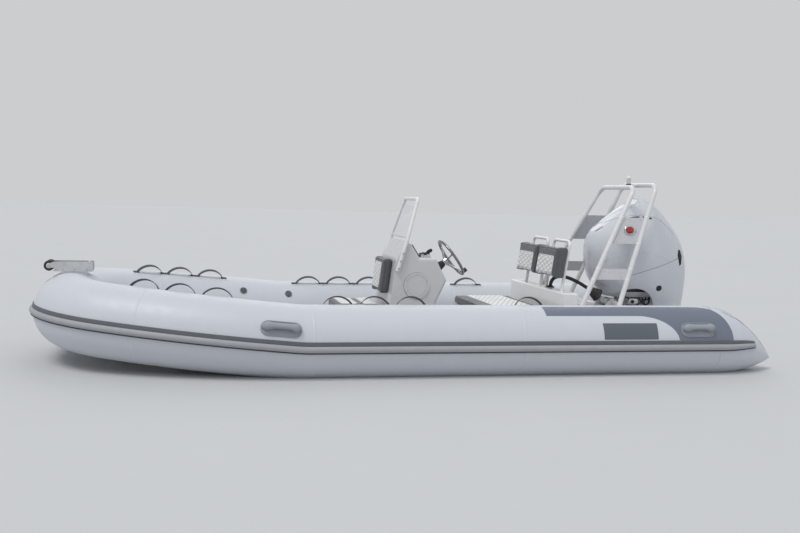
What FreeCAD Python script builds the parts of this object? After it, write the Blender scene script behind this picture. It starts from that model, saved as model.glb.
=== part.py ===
import FreeCAD, Part
import math
import os
import re
import Sketcher
from collections import namedtuple
from FreeCAD import Placement, Rotation, Vector

# Rigid inflatable boat with a centre console, stern arch and outboard engine.
# Frame: +X to the bow, +Y to port, +Z up, origin on the centreline at the waterline.

doc = FreeCAD.newDocument("RibBoat")
sheet = doc.addObject("Spreadsheet::Sheet", "Sizes")

# Driving dimensions in millimetres and degrees, one name and one value each.
SIZES = (
    # Buoyancy tube: section, straight run, stern cone and bow curve.
    ("tube_radius", 250), ("tube_axis_up", 220), ("tube_axis_out", 870),
    ("cone_start", -2200), ("cone_run", 573), ("cone_tip_radius", 12), ("cone_tip_drop", 130),
    ("straight_end", 661), ("rise_angle", 5.1), ("rise_bend", 1500), ("rise_lead", 113),
    ("bow_bend", 2500), ("bow_bend_angle", 24.4), ("nose_half_width", 146),
    # Strake round the tube: three bands, measured as angles on the tube's section.
    ("seat_gap", 0.3), ("lip_low", -9.6), ("fender_low", -7.8), ("band_low", 1.4), ("band_high", 7.8),
    ("lip_proud", 15), ("fender_proud", 24), ("fender_edge", 12), ("band_proud", 6),
    # Fittings glued on the tube.
    ("loop_chord", 200), ("loop_rise", 60), ("loop_strap", 3), ("loop_width", 22), ("loop_inboard", 18.7),
    ("loop_bow_first", 647), ("loop_bow_pitch", 255), ("loop_mid_first", 468), ("loop_mid_pitch", -256),
    ("loop_stern", -900), ("handle_fore", 882), ("handle_aft", -2060), ("handle_angle", 25),
    ("handle_patch_long", 250), ("handle_patch_high", 86), ("handle_patch_thick", 4),
    ("handle_grip_long", 150), ("handle_grip_rise", 34), ("handle_grip_radius", 8), ("handle_grip_bend", 14),
    ("handle_grip_slant", 12),
    ("valve_fore", 1029), ("valve_aft", 641), ("valve_angle", 40), ("valve_radius", 27), ("valve_proud", 6),
    # Hull, deck and transom.
    ("hull_end", -1820), ("keel_down", -250), ("stem_start", 1300), ("stem_run", 760),
    ("flange_inset", 110), ("flange_lift", 30), ("hull_top", 20), ("deck_top", 60),
    ("bow_step_start", 1260), ("bow_step_end", 2080), ("bow_step_top", 290), ("bow_step_half", 250),
    ("transom_thick", 60), ("transom_top", 370), ("transom_half_top", 700), ("spray_step", 8),
    # Stern locker, quarter decks and arch.
    ("locker_front", -1240), ("locker_top_front", -1246), ("locker_top_aft", -1356), ("locker_aft", -1366),
    ("locker_top", 527), ("locker_half", 593),
    ("quarter_top", 340), ("quarter_inner", 385),
    ("arch_tube", 19), ("arch_corner", 90), ("arch_half_top", 307), ("arch_lean", 0.19),
    ("arch_front_top_x", -1912), ("arch_front_top_z", 1324), ("arch_front_rake", 0.525),
    ("arch_aft_top_x", -2097), ("arch_aft_top_z", 1346), ("arch_aft_rake", 0.384), ("arch_foot_radius", 28),
    ("arch_foot_thick", 6),
    ("plate_thick", 5), ("plate_low", 890), ("plate_high", 1092), ("step_low", 618), ("step_high", 700),
    ("bridge_half", 34), ("nav_light_up", 993), ("nav_light_radius", 29), ("nav_light_deep", 26),
    ("mast_base_radius", 23), ("mast_base_high", 16), ("mast_base_sunk", 8), ("mast_base_lift", 3),
    ("mast_lens_radius", 17), ("mast_lens_high", 48),
    # Seats and cushions.
    ("front_seat_aft", 42), ("front_seat_fore", 372), ("front_seat_half", 230), ("seat_box_top", 335),
    ("seat_overhang", 18), ("seat_pad_thick", 62), ("helm_seat_fore", -722), ("helm_seat_half", 480),
    ("helm_pad_aft", -1200), ("soft_gap", 0.3), ("pad_round", 16),
    ("back_pad_low", 618), ("back_pad_high", 862), ("back_pad_thick", 88), ("back_pad_inner", 8),
    ("back_pad_outer", 436), ("back_lean", 0.154), ("back_front_low", -1222),
    ("back_tube", 12), ("back_handle_up", 900), ("back_hoop_inner", 62), ("back_hoop_outer", 388),
    ("back_hoop_bend", 40),
    # Console.
    ("console_half", 270), ("console_foot_fore", 38), ("console_foot_aft", -345), ("console_knee_up", 380),
    ("console_front_up", 750), ("console_front_x", -48), ("console_top_fore", -120), ("console_top", 876),
    ("console_brow_x", -165), ("console_brow_up", 851), ("console_step_x", -228), ("console_step_up", 752),
    ("console_ledge_x", -352), ("console_helm_x", -441), ("console_helm_up", 585), ("console_round", 22),
    ("dash_thick", 9), ("dash_margin", 14),
    ("hatch_x", -208), ("hatch_up", 546), ("hatch_radius", 98), ("hatch_lid_radius", 80),
    ("hatch_proud", 7), ("hatch_gap", 1), ("hatch_lid_low", 2), ("hatch_dip_radius", 15), ("hatch_dip_deep", 4),
    ("console_pad_low", 470), ("console_pad_high", 745), ("console_pad_half", 185), ("console_pad_thick", 66),
    # Windscreen.
    ("screen_tube", 14), ("screen_foot_up", 655), ("screen_foot_x", -55), ("screen_bend_up", 885),
    ("screen_top_up", 1190), ("screen_top_x", -214), ("screen_top_half", 208), ("screen_bend", 34),
    ("screen_panel_thick", 5), ("screen_panel_low", 900), ("screen_panel_high", 1140), ("screen_edge", 3),
    # Helm.
    ("wheel_x", -542), ("wheel_up", 742), ("wheel_tilt", 54.4), ("wheel_radius", 155), ("wheel_rim", 13),
    ("wheel_dish", 42), ("wheel_hub_radius", 34), ("wheel_hub_thick", 22), ("wheel_spoke", 6),
    ("wheel_spokes", 5), ("wheel_knob_radius", 17), ("wheel_knob_long", 46),
    ("wheel_knob_angle", 12), ("wheel_spoke_angle", 36), ("wheel_seat", 3),
    ("helm_shaft", 11), ("helm_shaft_long", 46), ("helm_boss_radius", 59.8), ("helm_boss_neck", 23.4),
    ("helm_boss_out", 74), ("helm_boss_root", 60), ("helm_boss_gap", 8),
    ("throttle_x", -300), ("throttle_side", 105), ("throttle_long", 76), ("throttle_wide", 62),
    ("throttle_high", 30), ("lever_radius", 8), ("lever_long", 82), ("lever_lean", 58), ("grip_radius", 14),
    ("grip_long", 34), ("throttle_round", 9),
    # Bow bracket and roller.
    ("roller_ahead", 159), ("roller_over", 294.5), ("bracket_long", 265), ("bracket_reach", 31),
    ("bracket_half", 80), ("bracket_below", 39), ("bracket_above", 29), ("bracket_thick", 6),
    ("bracket_shoulder", 30), ("bracket_foot_inset", 10), ("bracket_foot_deep", 90), ("bracket_foot_start", 40),
    ("bracket_foot_end", 50), ("bracket_ear", 14), ("roller_radius", 36), ("roller_pin", 7), ("roller_gap", 5),
    ("roller_play", 0.4), ("cleat_start", 30), ("cleat_up", 62), ("cleat_post", 9), ("cleat_horn", 7),
    ("cleat_half", 55),
    # Towing eyes.
    ("eye_bore", 9), ("eye_radius", 22), ("eye_thick", 12), ("bow_eye_x", 2112), ("bow_eye_up", 8),
    ("stern_eye_side", 520), ("stern_eye_up", 130), ("stern_eye_out", 30),
    # Outboard engine: clamp bracket, tilt and steering axes.
    ("tilt_x", -1860), ("tilt_up", 410), ("tilt_tube", 16), ("tilt_tube_half", 172), ("tilt_boss", 30),
    ("clamp_inner", 92), ("clamp_thick", 26), ("clamp_low", 20), ("clamp_deep", 60),
    ("steer_x", -1990), ("steer_top", 360), ("steer_low", -20), ("barrel_radius", 32), ("shaft_radius", 15),
    ("shaft_play", 0.4), ("pin_play", 0.4), ("arm_inner", 44), ("arm_thick", 20),
    ("ram_foot_x", -1915), ("ram_foot_up", 60), ("ram_eye_x", -1908), ("ram_eye_up", 374),
    ("ram_radius", 24), ("ram_rod", 9), ("ram_pin", 8), ("ram_barrel_long", 215), ("ram_play", 0.4),
    ("eye_play", 3.2), ("ram_eye_radius", 19), ("ram_half", 20), ("ram_barrel_start", 12), ("ram_foot_radius", 18),
    ("ram_floor", 60), ("ram_slack", 10), ("ram_seat", 4),
    # Outboard engine: cowl, leg, gearcase and propeller.
    ("cowl_wall", 10), ("cowl_gap", 0.5), ("split_front_x", -1662), ("split_front_up", 567),
    ("split_slope", 0.284), ("cap_seam_wide", 4), ("cap_seam_deep", 2.5), ("crease_wide", 3), ("crease_deep", 1.5),
    ("slot_drop", 12), ("slot_high", 8), ("slot_deep", 7), ("vent_up", 775), ("vent_half", 34), ("vent_high", 136),
    ("vent_deep", 6), ("grip_x", -2234), ("grip_up", 537), ("grip_hole", 15), ("grip_deep", 8),
    ("arch_cut_x", -1975), ("arch_cut_up", 345), ("arch_cut_radius", 190), ("cowl_front_up", 486),
    ("pan_low", 455), ("pan_high", 500), ("pan_front", -1790), ("pan_rear", -2440), ("pan_half", 190),
    ("yoke_radius", 38), ("yoke_gap", 6), ("yoke_arm_high", 40), ("yoke_arm_long", 90),
    ("block_front", -1862), ("block_rear", -2236), ("block_half", 160), ("block_top", 960),
    ("leg_front", -2034), ("leg_rear", -2335), ("leg_half", 72), ("plate_up", -285),
    ("cav_plate_thick", 10), ("cav_plate_rear", -2470), ("cav_plate_half", 105),
    ("shaft_up", -480), ("torpedo_radius", 54), ("torpedo_nose", -1985), ("torpedo_rear", -2330),
    ("skeg_low", -662), ("skeg_thick", 12), ("prop_gap", 5), ("prop_hub", 48), ("prop_hub_long", 120),
    ("prop_radius", 172), ("prop_pitch", 430), ("prop_blades", 3), ("prop_blade_thick", 7),
    ("prop_shaft", 12), ("prop_shaft_long", 70), ("prop_bore_long", 34), ("strut_taper", 14),
    # Rigging hose between the locker and the engine.
    ("hose_radius", 15), ("hose_side", 100), ("hose_exit_x", -1330), ("hose_top", 612),
    ("boot_x", -1712), ("boot_up", 478), ("boot_wide", 56), ("boot_narrow", 24), ("boot_long", 105),
    ("boot_pitch", 32),
)
for row, (alias, value) in enumerate(SIZES, 1):
    sheet.set("A%d" % row, alias)
    sheet.set("B%d" % row, str(value))
    sheet.setAlias("B%d" % row, alias)
doc.recompute()

ALIASES = {alias for alias, value in SIZES}
X_AXIS, Y_AXIS, Z_AXIS = Vector(1, 0, 0), Vector(0, 1, 0), Vector(0, 0, 1)
ORIGIN = Vector(0, 0, 0)
parts = []


def size(name):
    return float(sheet.get(name))


def bound(text):
    """An expression in size names, written with the sheet's name before each alias."""
    return re.sub(r"[a-z_]+", lambda m: "Sizes." + m.group(0) if m.group(0) in ALIASES else m.group(0), text)


def number(text):
    """The value of an expression in size names."""
    return float(sheet.evalExpression(re.sub(r"Sizes\.", "", bound(text))))


def kept(item, label):
    """Names an object and lists it as a finished piece."""
    item.Label = label
    parts.append(item)
    return item


def shaped(label, shape, helper=False):
    """A piece whose shape comes from Part's own functions."""
    item = doc.addObject("Part::Feature", label)
    item.Shape = shape
    item.Placement = Placement()
    return item if helper else kept(item, label)


def primitive(kind, name, place, turn=None, **sizes):
    """A Part primitive with its sizes and place bound to the sheet."""
    item = doc.addObject("Part::" + kind, name)
    for prop, text in sizes.items():
        item.setExpression(prop, bound(text))
    if turn:
        item.Placement = Placement(ORIGIN, Rotation(*turn))
    for axis, text in zip("xyz", place):
        item.setExpression("Placement.Base." + axis, bound(text))
    return item


def joined(name, items):
    item = doc.addObject("Part::MultiFuse", name)
    item.Shapes = items
    return item


def cut_away(name, base, tool):
    item = doc.addObject("Part::Cut", name)
    item.Base = base
    item.Tool = tool
    return item


def outline_body(label, role, outline, width, offset=None):
    """A PartDesign body: a closed outline of (across, up) expressions, padded to both sides of a plane."""
    body = doc.addObject("PartDesign::Body", label)
    sketch = body.newObject("Sketcher::SketchObject", label + "_outline")
    plane = next(item for item in body.Origin.OriginFeatures if item.Role == role)
    sketch.AttachmentSupport = [(plane, "")]
    sketch.MapMode = "FlatFace"
    corners = [Vector(number(across), number(up), 0) for across, up in outline]
    count = len(corners)
    for index, corner in enumerate(corners):
        sketch.addGeometry(Part.LineSegment(corner, corners[(index + 1) % count]), False)
    for index in range(count):
        sketch.addConstraint(Sketcher.Constraint("Coincident", index, 2, (index + 1) % count, 1))
    for index, pair in enumerate(outline):
        for kind, text in zip(("DistanceX", "DistanceY"), pair):
            rule = sketch.addConstraint(Sketcher.Constraint(kind, -1, 1, index, 1, number(text)))
            sketch.setExpression("Constraints[%d]" % rule, bound(text))
    pad = body.newObject("PartDesign::Pad", label + "_pad")
    pad.Profile = sketch
    pad.setExpression("Length", bound(width))
    pad.Midplane = True
    if offset:
        sketch.setExpression(".AttachmentOffset.Base.z", bound(offset))
    doc.recompute()
    return body


def rounded_body(body, radius, wanted):
    """Adds a fillet to the edges of the body's tip that the test picks."""
    tip = body.Tip
    names = ["Edge%d" % (index + 1) for index, edge in enumerate(tip.Shape.Edges) if wanted(edge)]
    fillet = body.newObject("PartDesign::Fillet", body.Name + "_round")
    fillet.Base = (tip, names)
    fillet.setExpression("Radius", bound(radius))
    doc.recompute()
    return body


def mirrored(shape):
    """The same shape on the other side of the centreline."""
    return shape.mirror(ORIGIN, Y_AXIS)


def both_sides(shape):
    return Part.makeCompound([shape, mirrored(shape)])


# Paths: straight legs and arcs that carry a flat face along, so every run is an exact solid.

Leg = namedtuple("Leg", "start forward length centre axis angle")


def straight(start, forward, length):
    return Leg(start, forward, length, None, None, 0)


def turn(start, forward, axis, radius, angle):
    centre = start + axis.cross(forward) * radius
    return Leg(start, forward, math.radians(angle) * radius, centre, axis, angle)


def at(leg, distance):
    """Position and direction at a distance along a leg."""
    if leg.centre is None:
        return leg.start + leg.forward * distance, leg.forward
    swing = Rotation(leg.axis, leg.angle * distance / leg.length)
    return leg.centre + swing.multVec(leg.start - leg.centre), swing.multVec(leg.forward)


def swept(face, legs):
    """The solid that a face makes when it is carried along the legs."""
    runs = []
    for leg in legs:
        if leg.centre is None:
            runs.append(face.extrude(leg.forward * leg.length))
            face = face.translated(leg.forward * leg.length)
        else:
            runs.append(face.revolve(leg.centre, leg.axis, leg.angle))
            face = face.copy()
            face.rotate(leg.centre, leg.axis, leg.angle)
    return runs[0].multiFuse(runs[1:]) if len(runs) > 1 else runs[0]


def disc(centre, normal, radius):
    return Part.Face(Part.Wire(Part.makeCircle(radius, centre, normal)))


def bent_tube(points, bend, radius):
    """A round tube through the points, with each inner corner bent to one radius."""
    legs = []
    here = points[0]
    for before, corner, after in zip(points, points[1:], points[2:]):
        forward = (corner - before).normalize()
        onward = (after - corner).normalize()
        axis = forward.cross(onward).normalize()
        angle = math.degrees(forward.getAngle(onward))
        trim = bend * math.tan(math.radians(angle) / 2)
        legs.append(straight(here, forward, (corner - here).Length - trim))
        legs.append(turn(corner - forward * trim, forward, axis, bend, angle))
        here = corner + onward * trim
    legs.append(straight(here, (points[-1] - here).normalize(), (points[-1] - here).Length))
    return swept(disc(points[0], legs[0].forward, radius), legs)


def rounded_loop(points, share=0.48):
    """A closed wire whose corners are arcs that use a share of the shorter side beside them."""
    count = len(points)
    ends = []
    for index, corner in enumerate(points):
        before, after = points[index - 1] - corner, points[(index + 1) % count] - corner
        reach = share * min(before.Length, after.Length)
        half = before.getAngle(after) / 2
        inward = (before.normalize() + after.normalize()).normalize()
        middle = corner + inward * (reach * (1 - math.sin(half)) / math.cos(half))
        ends.append((corner + before * reach, middle, corner + after * reach))
    edges = []
    for index, (into, middle, out) in enumerate(ends):
        edges.append(Part.Arc(into, middle, out).toShape())
        edges.append(Part.LineSegment(out, ends[(index + 1) % count][0]).toShape())
    return Part.Wire(edges)


def cross_rod(x, up, half, radius):
    """A round bar across the boat, centred on its middle plane."""
    return Part.makeCylinder(radius, 2 * half, Vector(x, -half, up), Y_AXIS)


def flat_face(points):
    return Part.Face(Part.makePolygon(points + points[:1]))


# Tube path, from the stern cone to the bow's centre.

def tube_legs():
    """The port tube's centreline as exact legs; the last two turns close the bow to its flat nose."""
    inward_turn = 90 - size("bow_bend_angle")
    level = math.radians(size("bow_bend_angle"))
    drift = size("bow_bend") * (1 - math.cos(level))
    nose_bend = (size("tube_axis_out") - size("nose_half_width") - drift) / math.cos(level)
    rise = Rotation(-Y_AXIS, size("rise_angle"))
    inward_axis = rise.multVec(-Z_AXIS)
    start = Vector(size("cone_start"), size("tube_axis_out"), size("tube_axis_up"))
    legs = [straight(start, X_AXIS, size("straight_end") - size("cone_start"))]
    plan = (
        ("turn", -Y_AXIS, size("rise_bend"), size("rise_angle")),
        ("line", None, size("rise_lead"), 0),
        ("turn", inward_axis, size("bow_bend"), size("bow_bend_angle")),
        ("turn", inward_axis, nose_bend, inward_turn),
        ("line", None, size("nose_half_width"), 0),
    )
    for kind, axis, amount, angle in plan:
        place, forward = at(legs[-1], legs[-1].length)
        if kind == "line":
            legs.append(straight(place, forward, amount))
        else:
            legs.append(turn(place, forward, axis, amount, angle))
    return legs


LEGS = tube_legs()
TUBE = size("tube_radius")


def tube_frame(distance):
    """Place, forward, outboard and up on the port tube's centreline, at a distance past its straight end."""
    for leg in LEGS[1:]:
        if distance <= leg.length or leg is LEGS[-1]:
            break
        distance -= leg.length
    place, forward = at(leg, distance)
    outboard = forward.cross(Z_AXIS).normalize() * -1
    return place, forward, outboard, outboard.cross(forward) * -1


def straight_frame(x):
    return Vector(x, size("tube_axis_out"), size("tube_axis_up")), X_AXIS, Y_AXIS, Z_AXIS


def frame_at(x):
    """The port tube's frame where it passes a distance forward."""
    if x <= size("straight_end"):
        return straight_frame(x)
    low, high = 0, sum(leg.length for leg in LEGS[1:-1])
    for step in range(40):
        middle = (low + high) / 2
        low, high = (middle, high) if tube_frame(middle)[0].x < x else (low, middle)
    return tube_frame(low)


def tube_at(x):
    return frame_at(x)[0]


CONE_STATIONS = (0, 0.22, 0.42, 0.6, 0.76, 0.9, 1)


def cone_section(share):
    """Place and radius of the stern cone's section at a share of its run."""
    drop = size("cone_tip_drop") * share ** 1.8
    radius = size("cone_tip_radius") + (TUBE - size("cone_tip_radius")) * (1 - share ** 2.1)
    aft = size("cone_start") - size("cone_run") * share
    return Vector(aft, size("tube_axis_out"), size("tube_axis_up") - drop), radius


def cone(extra=0):
    wires = []
    for share in CONE_STATIONS:
        place, radius = cone_section(share)
        wires.append(Part.Wire(Part.makeCircle(radius + extra, place, X_AXIS)))
    return Part.makeLoft(wires, True, True)


def tube_run(legs, radius):
    return swept(disc(legs[0].start, legs[0].forward, radius), legs)


def clearance_tubes():
    """Both tubes and the bow, grown by the seating gap: what every piece beside them is cut by."""
    grown = TUBE + size("seat_gap")
    side = cone(size("seat_gap")).fuse(tube_run(LEGS, grown))
    return side.fuse(mirrored(side))


TUBES_GROWN = clearance_tubes()

side_tube = cone().fuse(tube_run(LEGS[:1], TUBE)).removeSplitter()
shaped("tube_port", side_tube)
shaped("tube_starboard", mirrored(side_tube))
bow_half = tube_run(LEGS[1:], TUBE)
shaped("tube_bow", bow_half.fuse(mirrored(bow_half)).removeSplitter())


# Strake bands round the tube.

def polar(place, outboard, up, angle, radius):
    angle = math.radians(angle)
    return place + outboard * (radius * math.cos(angle)) + up * (radius * math.sin(angle))


def band_wire(place, outboard, up, low, high, base, edge, proud):
    """A band's section: it follows the tube inside and bulges from its edge height to its full height."""
    middle = (low + high) / 2
    inner = [polar(place, outboard, up, angle, base) for angle in (low, middle, high)]
    outer = [polar(place, outboard, up, low, base + edge), polar(place, outboard, up, middle, base + proud),
             polar(place, outboard, up, high, base + edge)]
    return Part.Wire([
        Part.Arc(*inner).toShape(),
        Part.LineSegment(inner[2], outer[2]).toShape(),
        Part.Arc(*outer[::-1]).toShape(),
        Part.LineSegment(outer[0], inner[0]).toShape(),
    ])


def band(low, high, edge, proud):
    """One band on both sides: lofted along the cone, swept along the tube, closed at the bow."""
    gap = size("seat_gap")
    wires = []
    for share in CONE_STATIONS[:5]:
        place, radius = cone_section(share)
        wires.append(band_wire(place, Y_AXIS, Z_AXIS, low, high, radius + gap, edge, proud))
    place, forward, outboard, up = straight_frame(size("cone_start"))
    face = Part.Face(band_wire(place, outboard, up, low, high, TUBE + gap, edge, proud))
    side = Part.makeLoft(wires, True, True).fuse(swept(face, LEGS))
    return side.fuse(mirrored(side)).removeSplitter()


# Columns: name, low angle, high angle, height at its edges, height at its middle.
BANDS = (
    ("rub_lip", "lip_low", "fender_low", "lip_proud", "lip_proud"),
    ("rub_fender", "fender_low", "band_low", "fender_edge", "fender_proud"),
    ("rub_band", "band_low", "band_high", "band_proud", "band_proud"),
)
for label, low, high, edge, proud in BANDS:
    shaped(label, band(size(low), size(high), size(edge), size(proud)))


# Fittings on the tubes.

def grab_loop(place, forward, outboard, up):
    """A webbing loop that stands on the tube's top: a strap bent to an arc and cut at the tube."""
    rise, half = size("loop_rise"), size("loop_chord") / 2
    radius = (half ** 2 + rise ** 2) / (2 * rise)
    outward = polar(ORIGIN, outboard, up, 90 + size("loop_inboard"), 1)
    across = outward.cross(forward).normalize()
    middle = place + outward * (TUBE + rise - radius)
    reach = math.degrees(math.acos((radius - rise) / radius)) + 6
    start = Rotation(across, -reach).multVec(outward)
    side = across * (size("loop_width") / 2)
    inner, outer = middle + start * radius, middle + start * (radius + size("loop_strap"))
    section = flat_face([inner - side, outer - side, outer + side, inner + side])
    return section.revolve(middle, across, 2 * reach).cut(TUBES_GROWN)


def grab_loops():
    bow = [tube_frame(size("loop_bow_first") + size("loop_bow_pitch") * index) for index in range(3)]
    middle = [straight_frame(size("loop_mid_first") + size("loop_mid_pitch") * index) for index in range(3)]
    frames = bow + middle + [straight_frame(size("loop_stern"))]
    return both_sides(Part.makeCompound([grab_loop(*frame) for frame in frames]))


shaped("grab_loops", grab_loops())


PATCH_SKIN = tube_run(LEGS, TUBE + size("seat_gap") + size("handle_patch_thick"))


def carry_handle(x):
    """An oval patch that follows the tube, with a bar grip bent out of it."""
    place, forward, outboard, up = frame_at(x)
    outward = polar(ORIGIN, outboard, up, size("handle_angle"), 1)
    long = forward * (size("handle_patch_long") / 2)
    high = forward.cross(outward) * (size("handle_patch_high") / 2)
    reach = forward * ((size("handle_patch_long") - size("handle_patch_high")) / 2)
    root = place + outward * (TUBE / 2)
    oval = Part.Face(Part.Wire([
        Part.LineSegment(root - reach - high, root + reach - high).toShape(),
        Part.Arc(root + reach - high, root + long, root + reach + high).toShape(),
        Part.LineSegment(root + reach + high, root - reach + high).toShape(),
        Part.Arc(root - reach + high, root - long, root - reach - high).toShape(),
    ]))
    patch = PATCH_SKIN.common(oval.extrude(outward * TUBE))
    foot, crown = place + outward * TUBE, place + outward * (TUBE + size("handle_grip_rise"))
    grip = forward * (size("handle_grip_long") / 2)
    shoulder = grip - forward * size("handle_grip_slant")
    points = [foot - grip, crown - shoulder, crown + shoulder, foot + grip]
    bar = bent_tube(points, size("handle_grip_bend"), size("handle_grip_radius"))
    return patch.fuse(bar).cut(TUBES_GROWN)


port_handles = Part.makeCompound([carry_handle(size("handle_fore")), carry_handle(size("handle_aft"))])
shaped("carry_handles", both_sides(port_handles))


def valve(x):
    """A round valve cap on the tube's inner side."""
    place, forward, outboard, up = frame_at(x)
    inward = polar(ORIGIN, outboard, up, 180 - size("valve_angle"), 1)
    proud = size("valve_proud")
    cap = Part.makeCylinder(size("valve_radius"), 2 * proud, place + inward * (TUBE - proud), inward)
    return cap.cut(TUBES_GROWN)


shaped("tube_valves", both_sides(Part.makeCompound([valve(size("valve_fore")), valve(size("valve_aft"))])))


# Hull, deck and transom.

# Columns: distance forward, chine as a share of the flange's half width, chine as a share of its height.
HULL_STATIONS = (
    (700, 0.908, 0.84), (1000, 0.895, 0.83), (1300, 0.87, 0.8), (1550, 0.83, 0.74), (1760, 0.77, 0.68),
    (1930, 0.7, 0.63), (2060, 0.64, 0.6), (2170, 0.6, 0.58),
)


# Inner and outer edge of each spray strake, as shares of the way from keel to chine.
SPRAY_STRAKES = ((0.36, 0.45), (0.68, 0.77))


def keel_up(x):
    """Height of the keel line, which sweeps up to the stem ahead of the stem's start."""
    share = max(0, x - size("stem_start")) / size("stem_run")
    return size("keel_down") * (1 - share ** 1.9)


def hull_corners(x, chine_out, chine_up):
    """Keel, chine, flange and top edge of the hull's port side at a distance forward."""
    tube = tube_at(x)
    keel, flange_up = keel_up(x), tube.z - TUBE + size("flange_lift")
    flange_out = tube.y - size("flange_inset")
    top = max(size("hull_top"), flange_up + 6)
    chine = Vector(x, flange_out * chine_out, keel + (flange_up - keel) * chine_up)
    return Vector(x, 0, keel), chine, Vector(x, flange_out, flange_up), Vector(x, flange_out, top)


def full_section(corners):
    """A closed section from one side's corners, keel first, with its mirror image."""
    port = list(corners)
    starboard = [Vector(point.x, -point.y, point.z) for point in port[:0:-1]]
    return Part.makePolygon(port + starboard + port[:1])


def hull_strakes(stations):
    """Two spray strakes a side: a flat step under the bottom at shares of the way from keel to chine."""
    strakes = []
    for inner, outer in SPRAY_STRAKES:
        wires = []
        for index, station in enumerate(stations):
            keel, chine, flange, top = hull_corners(*station)
            fade = min(1, (len(stations) - index) / 3)
            root = keel + (chine - keel) * (outer - (outer - inner) * fade)
            edge = keel + (chine - keel) * outer
            step = Vector(root.x, edge.y, root.z)
            lift = Z_AXIS * size("spray_step")
            wires.append(Part.makePolygon([root + lift, root, step, edge, edge + lift, root + lift]))
        strakes.append(Part.makeLoft(wires, True, True))
    return strakes


def hull():
    aft = (size("hull_end"),) + HULL_STATIONS[0][1:]
    sections = [full_section(hull_corners(*station)) for station in HULL_STATIONS]
    run = HULL_STATIONS[0][0] - size("hull_end")
    body = Part.Face(sections[0]).extrude(X_AXIS * -run).fuse(Part.makeLoft(sections, True, True))
    strakes = hull_strakes((aft,) + HULL_STATIONS[:5])
    body = body.multiFuse(strakes + [mirrored(strake) for strake in strakes])
    return body.cut(TUBES_GROWN).removeSplitter()


HULL = hull()
shaped("hull", HULL)


def plan_plate(points, low, high):
    """A level plate from its port edge, (forward, out) points from stern to bow, mirrored to starboard."""
    port = [Vector(x, y, low) for x, y in points]
    starboard = [Vector(x, -y, low) for x, y in points[::-1]]
    return flat_face(port + starboard).extrude(Z_AXIS * (high - low))


def cockpit_deck():
    """The inner moulding: a level sole between the tubes, with a raised step that fills the bow."""
    out = size("tube_axis_out")
    start, end = size("bow_step_start"), size("bow_step_end")
    sole = plan_plate([(size("hull_end"), out), (start + 120, out)], size("hull_top"), size("deck_top"))
    bow = [(start, out)]
    for share in (0.54, 0.85):
        x = start + (end - start) * share
        bow.append((x, tube_at(x).y))
    bow.append((end, size("bow_step_half")))
    step = plan_plate(bow, size("hull_top"), size("bow_step_top"))
    return sole.fuse(step).cut(TUBES_GROWN).cut(HULL).removeSplitter()


deck = cockpit_deck()
shaped("deck", max(deck.Solids, key=lambda solid: solid.Volume))


def transom():
    """The stern board: it follows the hull's V and stands up between the tubes."""
    corners = hull_corners(size("hull_end"), *HULL_STATIONS[0][1:])
    half, top = size("transom_half_top"), size("transom_top")
    outline = full_section(corners[:3] + (Vector(size("hull_end"), half, top),))
    board = Part.Face(outline).extrude(X_AXIS * -size("transom_thick"))
    return board.cut(TUBES_GROWN)


shaped("transom", transom())

tubes_tool = shaped("tubes_grown", TUBES_GROWN, helper=True)


def tapered_locker():
    outline = [("locker_front", "deck_top"), ("locker_top_front", "locker_top"), ("locker_top_aft", "locker_top"),
               ("locker_aft", "deck_top")]
    body = outline_body("stern_locker", "XZ_Plane", outline, "2 * locker_half")
    return rounded_body(body, "12", lambda edge: edge.BoundBox.ZMin > size("locker_top") - 1)


kept(tapered_locker(), "stern_locker")

quarter_boxes = [
    primitive("Box", "quarter_" + side, ("hull_end", low, "deck_top"), Length="locker_aft - hull_end",
              Width="tube_axis_out - quarter_inner", Height="quarter_top - deck_top")
    for side, low in (("port", "quarter_inner"), ("starboard", "-tube_axis_out"))
]
kept(cut_away("quarter_decks", joined("quarter_pair", quarter_boxes), tubes_tool), "quarter_decks")


# Stern arch: two hoops of bent tube with side plates, lights and a bridge between them.

def arch_leg(top_x, top_z, rake, up):
    """A point on a hoop's port leg at a height: the leg leans in and rakes aft."""
    half = size("arch_half_top") + size("arch_lean") * (size("arch_front_top_z") - up)
    return Vector(size(top_x) + size(rake) * (size(top_z) - up), half, up)


FRONT_HOOP = ("arch_front_top_x", "arch_front_top_z", "arch_front_rake")
AFT_HOOP = ("arch_aft_top_x", "arch_aft_top_z", "arch_aft_rake")
# What the hoops cut off the plates beyond them is smaller than this, in cubic millimetres.
OFFCUT = 2000


def hoop(names):
    foot = arch_leg(*names, size("quarter_top") + size("arch_foot_thick"))
    top = arch_leg(*names, size(names[1]))
    mirror = [Vector(point.x, -point.y, point.z) for point in (top, foot)]
    tube = bent_tube([foot, top] + mirror, size("arch_corner"), size("arch_tube"))
    seat = Vector(foot.x, foot.y, size("quarter_top"))
    sole = Part.makeCylinder(size("arch_foot_radius"), size("arch_foot_thick"), seat)
    below = Part.makeCylinder(2 * size("arch_foot_radius"), size("quarter_top"), Vector(foot.x, foot.y, 0))
    return tube.multiFuse([sole, mirrored(sole)]).cut(below).cut(mirrored(below)).removeSplitter()


front_hoop, aft_hoop = hoop(FRONT_HOOP), hoop(AFT_HOOP)
shaped("arch_front_hoop", front_hoop)
shaped("arch_aft_hoop", aft_hoop)


def side_plate(low, high):
    """A flat plate between the two hoops' port legs, flush with the middle of their tubes."""
    corners = [arch_leg(*FRONT_HOOP, up) for up in (low, high)] + [arch_leg(*AFT_HOOP, up) for up in (high, low)]
    normal = Vector(0, 1, size("arch_lean")).normalize()
    shift = normal * (size("plate_thick") / -2)
    return flat_face([corner + shift for corner in corners]).extrude(normal * size("plate_thick"))


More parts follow.
